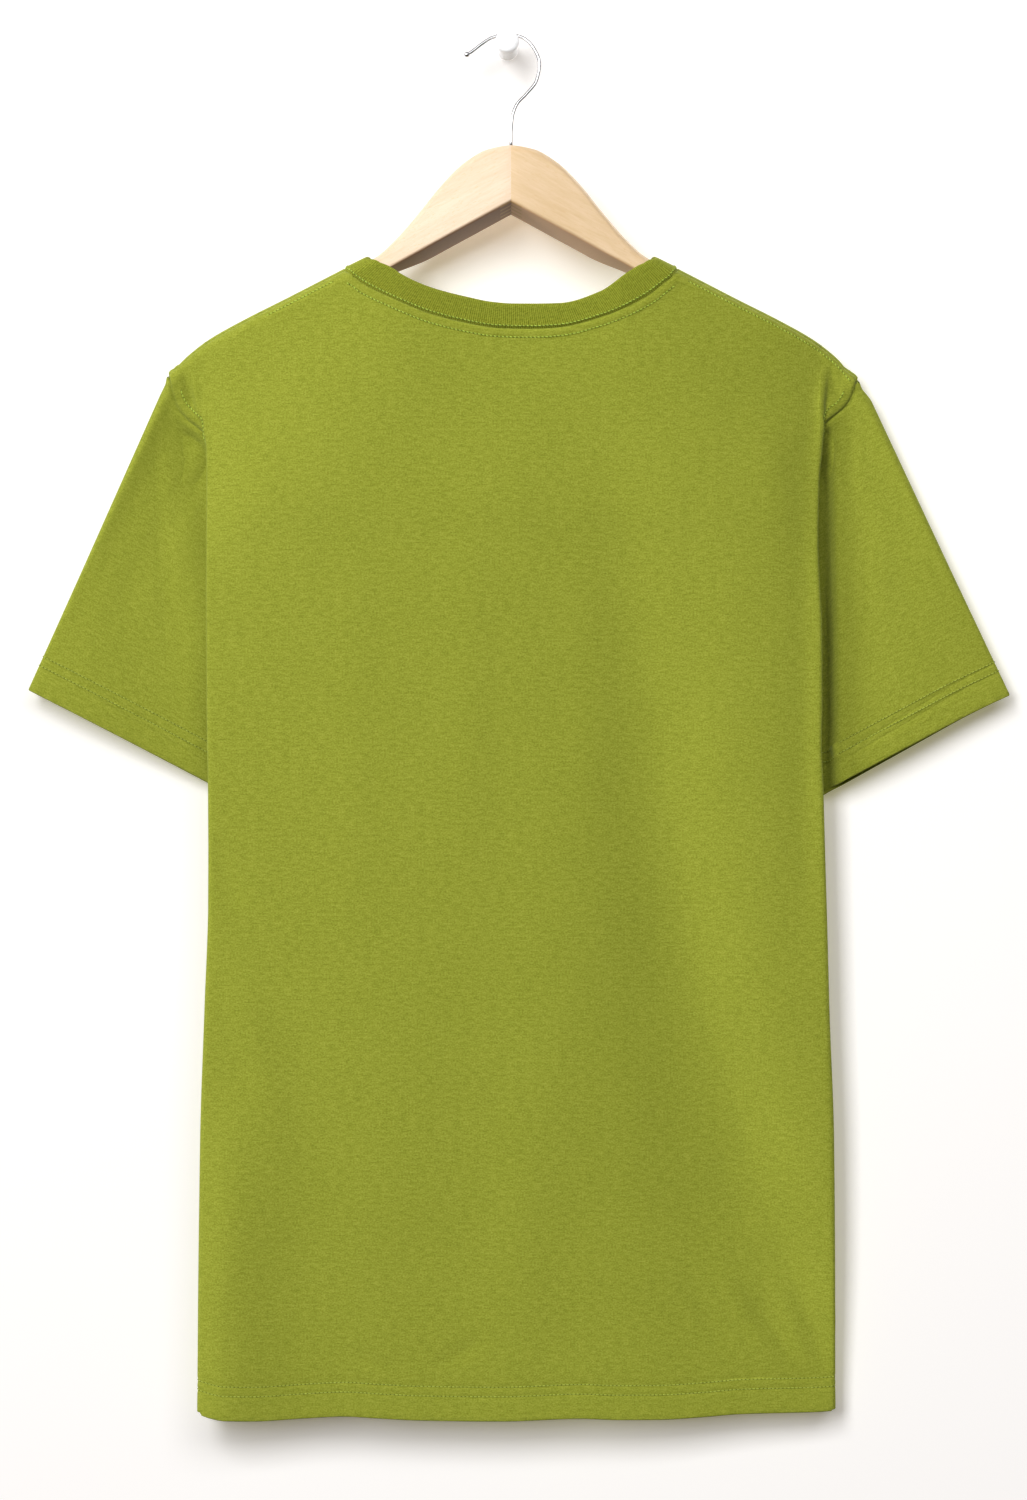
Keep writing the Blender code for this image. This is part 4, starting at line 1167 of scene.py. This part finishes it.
def plainFinish(name, scale, low, high, values, detail=1.0):
    # one fine noise between two shades
    made, tree, shader = newFinish(name, values)
    where = addNode(tree, "ShaderNodeTexCoord").outputs["Object"]
    noise = noiseOf(tree, where, scale, detail)
    tree.links.new(rampOf(tree, noise, [(0.3, low), (0.7, high)]), shader.inputs["Base Color"])
    return made, tree, shader, noise


def threadFinish(name, low, high):
    return plainFinish(name, (2600.0, 2600.0, 2600.0), low, high, {"Roughness": 0.55})[0]


wood = {
    # per side: the left arm's paler, cooler colours are a painted highlight where its face turns to
    # the light, the right arm's darker ones painted shade; the underside colours are painted shade
    # too
    "pale": {-1: (0.62, 0.475, 0.34), 1: (0.585, 0.425, 0.255)},
    "warm": {-1: (0.54, 0.40, 0.265), 1: (0.51, 0.35, 0.18)},
    "under": {-1: (0.34, 0.16, 0.075), 1: (0.62, 0.36, 0.20)},
    "underShadeFade": (-2.5, -1),  # how the underside's colour comes in as a face turns down
    "fleck": (0.50, 0.30, 0.12),
    "slope": 27,
    "figure": (14, 70, 110),  # per metre, along the arm, through it and across it
    "grain": (45, 500, 620),
    "flecks": (330, 1900, 2300),
    "fleckFrom": 0.66,
    "fleckShade": 0.36,
    "slotReach": 7,           # the finger joint's slots, from the middle
    "slotHeight": -107.6,
    "slotSlope": -0.53,
    "slotTurns": 1100,
    "slotFrom": 0.45,
    "slotShade": 0.95,
    "surface": {"Roughness": 0.5, "Specular IOR Level": 0.3, "Coat Weight": 0.12,
                "Coat Roughness": 0.3},
}


def beechFinish(name, side):
    # grain runs along the arm, with the short dark flecks of beech
    made, tree, shader = newFinish(name, wood["surface"])
    where, facing = (addNode(tree, "ShaderNodeTexCoord").outputs[label]
                     for label in ("Object", "Normal"))
    turn = (0.0, -side * math.radians(wood["slope"]), 0.0)
    turned = addNode(tree, "ShaderNodeMapping", {"Vector": where, "Rotation": turn}).outputs[0]
    figure = noiseOf(tree, turned, wood["figure"], 4.0, 0.55)
    fine = noiseOf(tree, turned, wood["grain"], 3.0, 0.6)
    flecks = noiseOf(tree, turned, wood["flecks"], 1.0)
    mixed = mathNode(tree, "MULTIPLY_ADD", fine, 0.45, mathNode(tree, "MULTIPLY", figure, 0.55))
    # painted light: the side picks a paler lit set of colours for the left arm and a darker shaded
    # set for the right
    colour = rampOf(tree, mixed, [(0.36, wood["warm"][side]), (0.62, wood["pale"][side])])
    # painted shade: as a face turns down its colour moves to a shade tone, a dark brown on the left
    # arm and a reddish brown on the right
    upward = addNode(tree, "ShaderNodeSeparateXYZ", {0: facing}).outputs[2]
    below = mathNode(tree, "MULTIPLY_ADD", upward, *wood["underShadeFade"], use_clamp=True)
    colour = mixOf(tree, below, colour, wood["under"][side])
    mask = mathNode(tree, "GREATER_THAN", flecks, wood["fleckFrom"])
    mask = mathNode(tree, "MULTIPLY", mask, wood["fleckShade"])
    # the glued finger joint shows as short dark slots on the foot's underside
    axes = addNode(tree, "ShaderNodeSeparateXYZ", {0: where}).outputs
    fromJoint = mathNode(tree, "SUBTRACT", axes[0], neck["middle"] * mm)
    fromJoint = mathNode(tree, "ABSOLUTE", fromJoint)
    atJoint = mathNode(tree, "LESS_THAN", fromJoint, wood["slotReach"] * mm)
    depth = mathNode(tree, "MULTIPLY_ADD", fromJoint, wood["slotSlope"], wood["slotHeight"] * mm)
    under = mathNode(tree, "LESS_THAN", axes[2], depth)
    slots = mathNode(tree, "SINE", mathNode(tree, "MULTIPLY", axes[1], wood["slotTurns"]))
    slots = mathNode(tree, "GREATER_THAN", slots, wood["slotFrom"])
    slots = mathNode(tree, "MULTIPLY", mathNode(tree, "MULTIPLY", atJoint, under), slots)
    slots = mathNode(tree, "MULTIPLY", slots, wood["slotShade"])
    mask = mathNode(tree, "MAXIMUM", mask, slots)
    setInputs(tree, shader, {"Base Color": mixOf(tree, mask, colour, wood["fleck"]),
                             "Normal": bumpOf(tree, fine, 0.12, 0.0002)})
    return made


def chromeFinish():
    made, tree, shader, noise = plainFinish("chromeWire", (900.0, 900.0, 240.0), (0.50, 0.50, 0.51),
                                            (0.66, 0.66, 0.67), {"Metallic": 1.0}, 2.0)
    rough = mathNode(tree, "MULTIPLY_ADD", noise, 0.12, 0.1)
    tree.links.new(rough, shader.inputs["Roughness"])
    return made


def pegFinish():
    made, tree, shader, noise = plainFinish(
        "whiteGloss", (120.0, 120.0, 120.0), (0.80, 0.80, 0.81), (0.86, 0.86, 0.87),
        {"Roughness": 0.24, "Coat Weight": 0.4, "Coat Roughness": 0.1}, 2.0)
    tree.links.new(bumpOf(tree, noise, 0.06, 0.0003), shader.inputs["Normal"])
    return made


# Hanger, hook and peg

def armSection(out):
    # a rounded crown over a bevelled foot; the broad middle is thicker on the wall's side
    halfHigh = (armTop(out) - armFoot(out)) / 2 / cosLean
    halfThick = armThick(out) / 2
    crown = min(hanger["crown"], halfHigh)
    bevel = min(hanger["bevel"], halfHigh / 3)
    corner = [(-halfThick + bevel * (1 - math.sin(a)), -halfHigh + bevel * (1 - math.cos(a)))
              for a in np.linspace(0.0, math.pi / 2, hanger["bevelPoints"])]
    top = [(-halfThick * math.cos(a), halfHigh - crown + crown * math.sin(a))
           for a in np.linspace(0.0, math.pi, hanger["crownPoints"])]
    broad = 1 - float(smoothStep(out, *hanger["broadEnd"]))
    section = []
    for a, b in corner + top + [(-a, b) for a, b in corner[::-1]]:
        back = broad * (a + halfThick) / (2 * halfThick)
        section.append((a + hanger["behind"] * back, b - (hanger["tilt"] * back if b < 0 else 0.0)))
    return section


def makeArm(name, side):
    reach = hanger["reach"] - hanger["joint"]
    stations = hanger["joint"] + reach * np.linspace(0.0, 1.0, hanger["stations"])
    points = []
    for out in stations:
        middle = (armTop(out) + armFoot(out)) / 2
        depth = armY(out, middle)
        for across, up in armSection(out):
            points.append((neck["middle"] + side * out,
                           depth + across * cosLean + up * sinLean,
                           middle + up * cosLean - across * sinLean))
    faces = tubeFaces(len(stations), len(points) // len(stations))
    faces = [face[:1] + face[:0:-1] if side > 0 else face[1:] + face[:1] for face in faces]
    made = makeObject(name, points, faces)
    for cap in list(made.data.polygons)[-2:]:
        cap.use_smooth = False
    made.data.set_sharp_from_angle(angle=math.radians(38.0))
    return made


def makeHook():
    walked = pathLength(hookRoute)
    routeX, routeZ = (curveThrough(walked, hookRoute[:, i]) for i in (0, 1))
    line = [(float(routeX(s)), float(routeZ(s)), hook["radius"])
            for s in np.linspace(hook["ballNeck"], walked[-1], hook["steps"])]
    foot = float(armTop(0.0)) - hook["into"]
    line += [(neck["middle"], z, hook["radius"]) for z in (foot + hook["shank"], foot)]
    first = np.array([float(routeX(0.0)), float(routeZ(0.0))])
    heading = np.array(line[0][:2]) - first
    heading /= np.linalg.norm(heading)
    ball = []
    for angle in np.radians(np.linspace(*hook["ballAngles"])):
        place = first - heading * hook["ball"] * math.cos(angle)
        ball.append((place[0], place[1], hook["ball"] * math.sin(angle)))
    line = ball + line
    centres = np.array([(x, hook["depth"] + (z - hookTop) * sinLean / cosLean, z)
                        for x, z, _ in line])
    across = np.array([0.0, cosLean, -sinLean])
    points = []
    for centre, tangent, (_, _, radius) in zip(centres, np.gradient(centres, axis=0), line):
        other = np.cross(tangent / np.linalg.norm(tangent), across)
        for i in range(hook["sides"]):
            angle = 2 * math.pi * i / hook["sides"]
            points.append(centre + radius * (across * math.cos(angle) + other * math.sin(angle)))
    return makeObject("hookWire", points, tubeFaces(len(line), hook["sides"]))


peg = {
    # depth from the wall, radius
    "profile": [(0, 7), (-3, 6.9), (-9, 6.2), (-16, 5.3), (-22.5, 4.85), (-30.5, 4.85),
                (-31.4, 5.3), (-32.2, 6.5), (-33.4, 7.6), (-35.6, 8), (-38, 7.7), (-39.2, 6.9),
                (-39.9, 5.4), (-40.2, 3.2), (-40.3, 0.9)],
    "rings": 64,
    "sides": 72,
}


def makePeg():
    knots = np.linspace(0.0, 1.0, len(peg["profile"]))
    rings = np.linspace(0.0, 1.0, peg["rings"])
    depths, radii = (np.interp(rings, knots, values) for values in zip(*peg["profile"]))
    points = []
    for y, radius in zip(depths, radii):
        for i in range(peg["sides"]):
            angle = 2 * math.pi * i / peg["sides"]
            points.append((radius * math.cos(angle), y, radius * math.sin(angle)))
    made = makeObject("pegKnob", points, tubeFaces(len(rings), peg["sides"]))
    made.data.set_sharp_from_angle(angle=math.radians(50.0))
    return made


# Build

finishes = {
    "jersey": jerseyFinish(),
    "rib": ribFinish(),
    "thread": threadFinish("thread", (0.255, 0.315, 0.022), (0.350, 0.405, 0.045)),
    "neckThread": threadFinish("neckThread", (0.29, 0.42, 0.030), (0.42, 0.55, 0.065)),
    # painted shade: the needle holes are dark beads coloured like the shade inside them
    "hole": plainFinish("needleHoleShade", (1800.0, 1800.0, 1800.0), (0.095, 0.115, 0.006),
                        (0.145, 0.168, 0.010), {"Roughness": 1.0})[0],
    "leftBeechPaintedLight": beechFinish("leftBeechPaintedLight", -1),
    "rightBeechPaintedShade": beechFinish("rightBeechPaintedShade", 1),
    "chrome": chromeFinish(),
    "peg": pegFinish(),
}

backPanel, backGrid, backSeam = makePanel("backPanel", True)
frontPanel, frontGrid, frontSeam = makePanel("frontPanel", False)
print("panels made:", len(backPanel.data.polygons), len(frontPanel.data.polygons))
leftSleeve, leftGrid = makeSleeve("leftSleeve", -1)
rightSleeve, rightGrid = makeSleeve("rightSleeve", 1)
print("sleeves made:", len(leftSleeve.data.polygons), len(rightSleeve.data.polygons))
neckRib, ribOuter = makeRib()
settle(neckRib, *ribTree(), {"Depth": rib["depth"] * mm, "Finish": finishes["rib"]})
print("rib made:", len(neckRib.data.polygons))
leftArm = makeArm("leftArm", -1)
rightArm = makeArm("rightArm", 1)
hookWire = makeHook()
pegKnob = makePeg()
for piece, finish in ((backPanel, "jersey"), (frontPanel, "jersey"), (leftSleeve, "jersey"),
                      (rightSleeve, "jersey"), (leftArm, "leftBeechPaintedLight"), (rightArm, "rightBeechPaintedShade"),
                      (hookWire, "chrome"), (pegKnob, "peg")):
    piece.data.materials.append(finishes[finish])
print("hanger, hook and peg made")


# Stitches

stitch = {
    "raise": 0.12,            # how far the thread stands off the cloth
    "stop": 13,               # the armhole's stitches end this many rows below the top
    "neckStop": 2,            # the neck's end this far from its corners
    "neckRows": 40,           # rows of the mesh that they lie within, from the top
    "shoulderRows": 30,
    "shoulderFrom": 4,        # the right shoulder's begin this far past the neck
    "leftShoulder": (-158, -112),
    "neckSizes": {"Thread": 0.34 * mm, "Dash": 1.9 * mm, "Hole": 0.44 * mm, "Slant": 0.3},
}


def pointAt(distance, fromEdge, places, normals):
    # the spot at one distance from an edge, just off the cloth
    order = np.argsort(fromEdge)
    near = fromEdge[order]
    return [np.interp(distance, near, places[order, k])
            + stitch["raise"] * np.interp(distance, near, normals[order, k]) for k in range(3)]


def rowLine(grid, toEdge, distance, sign, closed=False):
    # a line across the grid's columns at one distance from an edge
    normal = gridNormals(grid, closed) * sign
    return np.array([pointAt(distance, toEdge[:, c], grid[:, c], normal[:, c])
                     for c in range(grid.shape[1])])


def panelStitches(grid, toSeam, isBack):
    # rows along the hem, and those along the neck, the back's shoulders and the armholes
    sign = outward(isBack)
    x, z = grid[..., 0], grid[..., 2]
    hemPaths = [(rowLine(grid, z - hemZ(x), row, sign), False) for row in seams["hemRows"]]
    toTop = topEdge(x, isBack) - z
    square = squareOff(x, toTop, isBack)
    inNeck = np.abs(x[-1] - neck["middle"]) < neck["half"] - stitch["neckStop"]
    column = np.arange(grid.shape[1])
    top = slice(-stitch["neckRows"], None)
    neckLine = rowLine(grid[top, inNeck], square[top, inNeck], seams["neckRow"], sign)
    topPaths = [(neckLine, False)]
    if isBack:
        past = x[-1] > neck["middle"] + neck["half"] + stitch["shoulderFrom"]
        low, high = stitch["leftShoulder"]
        top = slice(-stitch["shoulderRows"], None)
        for chosen in (past & (column < len(column) - 5), (x[-1] > low) & (x[-1] < high)):
            line = rowLine(grid[top, chosen], toTop[top, chosen], seams["shoulderRow"], sign)
            topPaths.append((line, False))
    normal = gridNormals(grid, False) * sign
    for part in (slice(0, panel["stripColumns"]), slice(-panel["stripColumns"], None)):
        line = [pointAt(seams["armholeRow"], toSeam[r, part], grid[r, part], normal[r, part])
                for r in range(len(grid) - stitch["stop"])
                if seams["armholeRow"] <= toSeam[r, part].max() < seams["away"]]
        topPaths.append((line, False))
    return hemPaths, topPaths


def makeStitches(name, paths, thread, sizes):
    # each path is a list of points and whether it is a closed loop
    points, edges = [], []
    for path, closed in paths:
        first = len(points)
        points += list(path)
        edges += [(i, i + 1) for i in range(first, len(points) - 1)]
        if closed:
            edges.append((len(points) - 1, first))
    made = makeObject(name, points, [], edges=edges)
    values = {"Thread Finish": finishes[thread], "Hole Shade Finish": finishes["hole"], **sizes}
    return settle(made, *stitchNodes, values)


stitchNodes = stitchTree()
hemPaths, topPaths = panelStitches(backGrid, backSeam, True)
backHemStitches = makeStitches("backHemStitches", hemPaths, "thread", {})
backTopStitches = makeStitches("backTopStitches", topPaths, "neckThread", stitch["neckSizes"])
hemPaths, topPaths = panelStitches(frontGrid, frontSeam, False)
frontHemStitches = makeStitches("frontHemStitches", hemPaths, "thread", {})
frontTopStitches = makeStitches("frontTopStitches", topPaths, "neckThread", stitch["neckSizes"])
sleeveStitches = []
for name, grid, side in (("leftCuffStitches", leftGrid, -1.0),
                         ("rightCuffStitches", rightGrid, 1.0)):
    rows = grid[2:]
    fromEnd = np.cumsum(np.linalg.norm(np.diff(rows[::-1], axis=0), axis=2), axis=0)
    fromEnd = np.concatenate([np.zeros((1, rows.shape[1])), fromEnd])[::-1] + jersey["hemTurn"]
    paths = [(rowLine(rows, fromEnd, row, side, True), True) for row in seams["cuffRows"]]
    sleeveStitches.append(makeStitches(name, paths, "thread", {}))
ribSeam = ribOuter[3] + gridNormals(ribOuter, True)[3] * (stitch["raise"] + 0.1)
neckStitches = makeStitches("neckStitches", [(ribSeam, True)], "neckThread", stitch["neckSizes"])
print("stitches made")


# What each piece rides on and stands for, with a finish name that nothing here applies

carried = [
    (backPanel, ("back_panel",), "jersey"),
    (frontPanel, ("front_panel",), "jersey"),
    (leftSleeve, ("sleeve_left",), "jersey"),
    (rightSleeve, ("sleeve_right",), "jersey"),
    (neckRib, ("neck_rib",), "rib_knit"),
    (leftArm, ("hanger_arm_left",), "beech"),
    (rightArm, ("hanger_arm_right",), "beech"),
    (hookWire, ("hanger_hook",), "chrome_wire"),
    (pegKnob, ("wall_peg",), "white_gloss"),
    (backHemStitches, (), "jersey"),
    (backTopStitches, (), "jersey"),
    (frontHemStitches, (), "jersey"),
    (frontTopStitches, (), "jersey"),
    (sleeveStitches[0], (), "jersey"),
    (sleeveStitches[1], (), "jersey"),
    (neckStitches, (), "rib_knit"),
]
for piece, nodes, slot in carried:
    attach(piece, "root")
    if nodes:
        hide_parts(*nodes)


# Stage

stage = {
    "wallSize": 3000,
    "wallMiddle": -467,
    "wallGlow": 0.2,
    "aim": (0, 0, -0.45),     # where every light points
    "keyPlace": (-1.455, -4, 1.015),
    "keySize": (1.25, 2.9),
    "keyPower": 150,
    "fillPlace": (0.6, -3.4, 1.5),
    "fillSize": (3, 1.6),
    "fillPower": 57,
    "sidePlace": (-5.4, -2.3, 1.7),
    "sideAngle": 16,          # of a sun's disc, in degrees
    "sidePower": 2.5,
    "backPlace": (0.9, 3.4, 0.7),
    "backSize": (2.4, 2.4),
    "backPower": 120,
    "world": 0.04,
    "cameraPlace": (0.00415, -3, -0.4675),
    "lens": 107.8,
}


def wallFinish():
    # seen from the room only, so that the shirt shows from the wall's side too
    made, tree, shader = newFinish("paleWall", {
        "Base Color": (0.95, 0.95, 0.955, 1.0), "Roughness": 0.9,
        "Emission Color": (1.0, 0.86, 0.74, 1.0), "Emission Strength": stage["wallGlow"]})
    behind = addNode(tree, "ShaderNodeNewGeometry").outputs["Backfacing"]
    clear = addNode(tree, "ShaderNodeBsdfTransparent").outputs[0]
    mix = addNode(tree, "ShaderNodeMixShader", {0: behind, 1: shader.outputs[0], 2: clear})
    tree.links.new(mix.outputs[0], tree.nodes["Material Output"].inputs["Surface"])
    return made


def makeWall():
    half = stage["wallSize"] / 2
    low, high = stage["wallMiddle"] - half, stage["wallMiddle"] + half
    corners = [(-half, 0.3, low), (half, 0.3, low), (half, 0.3, high), (-half, 0.3, high)]
    made = makeObject("wall", corners, [(0, 1, 2, 3)])
    made.data.materials.append(wallFinish())
    made.visible_shadow = False


def addLight(name, kind):
    lamp = bpy.data.lights.new(name, kind)
    lamp.energy = stage[name + "Power"]
    if kind == "AREA":
        lamp.shape = "RECTANGLE"
        lamp.size, lamp.size_y = stage[name + "Size"]
    else:
        lamp.angle = math.radians(stage[name + "Angle"])
    made = addObject(name, lamp)
    made.location = stage[name + "Place"]
    heading = Vector(stage["aim"]) - Vector(stage[name + "Place"])
    made.rotation_euler = heading.to_track_quat("-Z", "Y").to_euler()
    return made


makeWall()
addLight("key", "AREA")
addLight("fill", "AREA")
shirtOnly = bpy.data.collections.new("shirtOnly")     # the side and back lights leave the wall out
for piece, nodes, slot in carried:
    shirtOnly.objects.link(piece)
for name, kind in (("back", "AREA"), ("side", "SUN")):
    addLight(name, kind).light_linking.receiver_collection = shirtOnly
world = bpy.data.worlds.new("studio")
world.use_nodes = True
background = world.node_tree.nodes["Background"].inputs
background["Color"].default_value = (1.0, 1.0, 1.0, 1.0)
background["Strength"].default_value = stage["world"]
bpy.context.scene.world = world

lens = bpy.data.cameras.new("camera")
lens.lens = stage["lens"]
lens.sensor_width = 36.0
lens.clip_end = 50.0
camera = addObject("camera", lens)
camera.location = stage["cameraPlace"]
camera.rotation_euler = (math.pi / 2, 0.0, 0.0)
bpy.context.scene.camera = camera
bpy.context.scene.view_settings.view_transform = "Standard"
print("stage made")
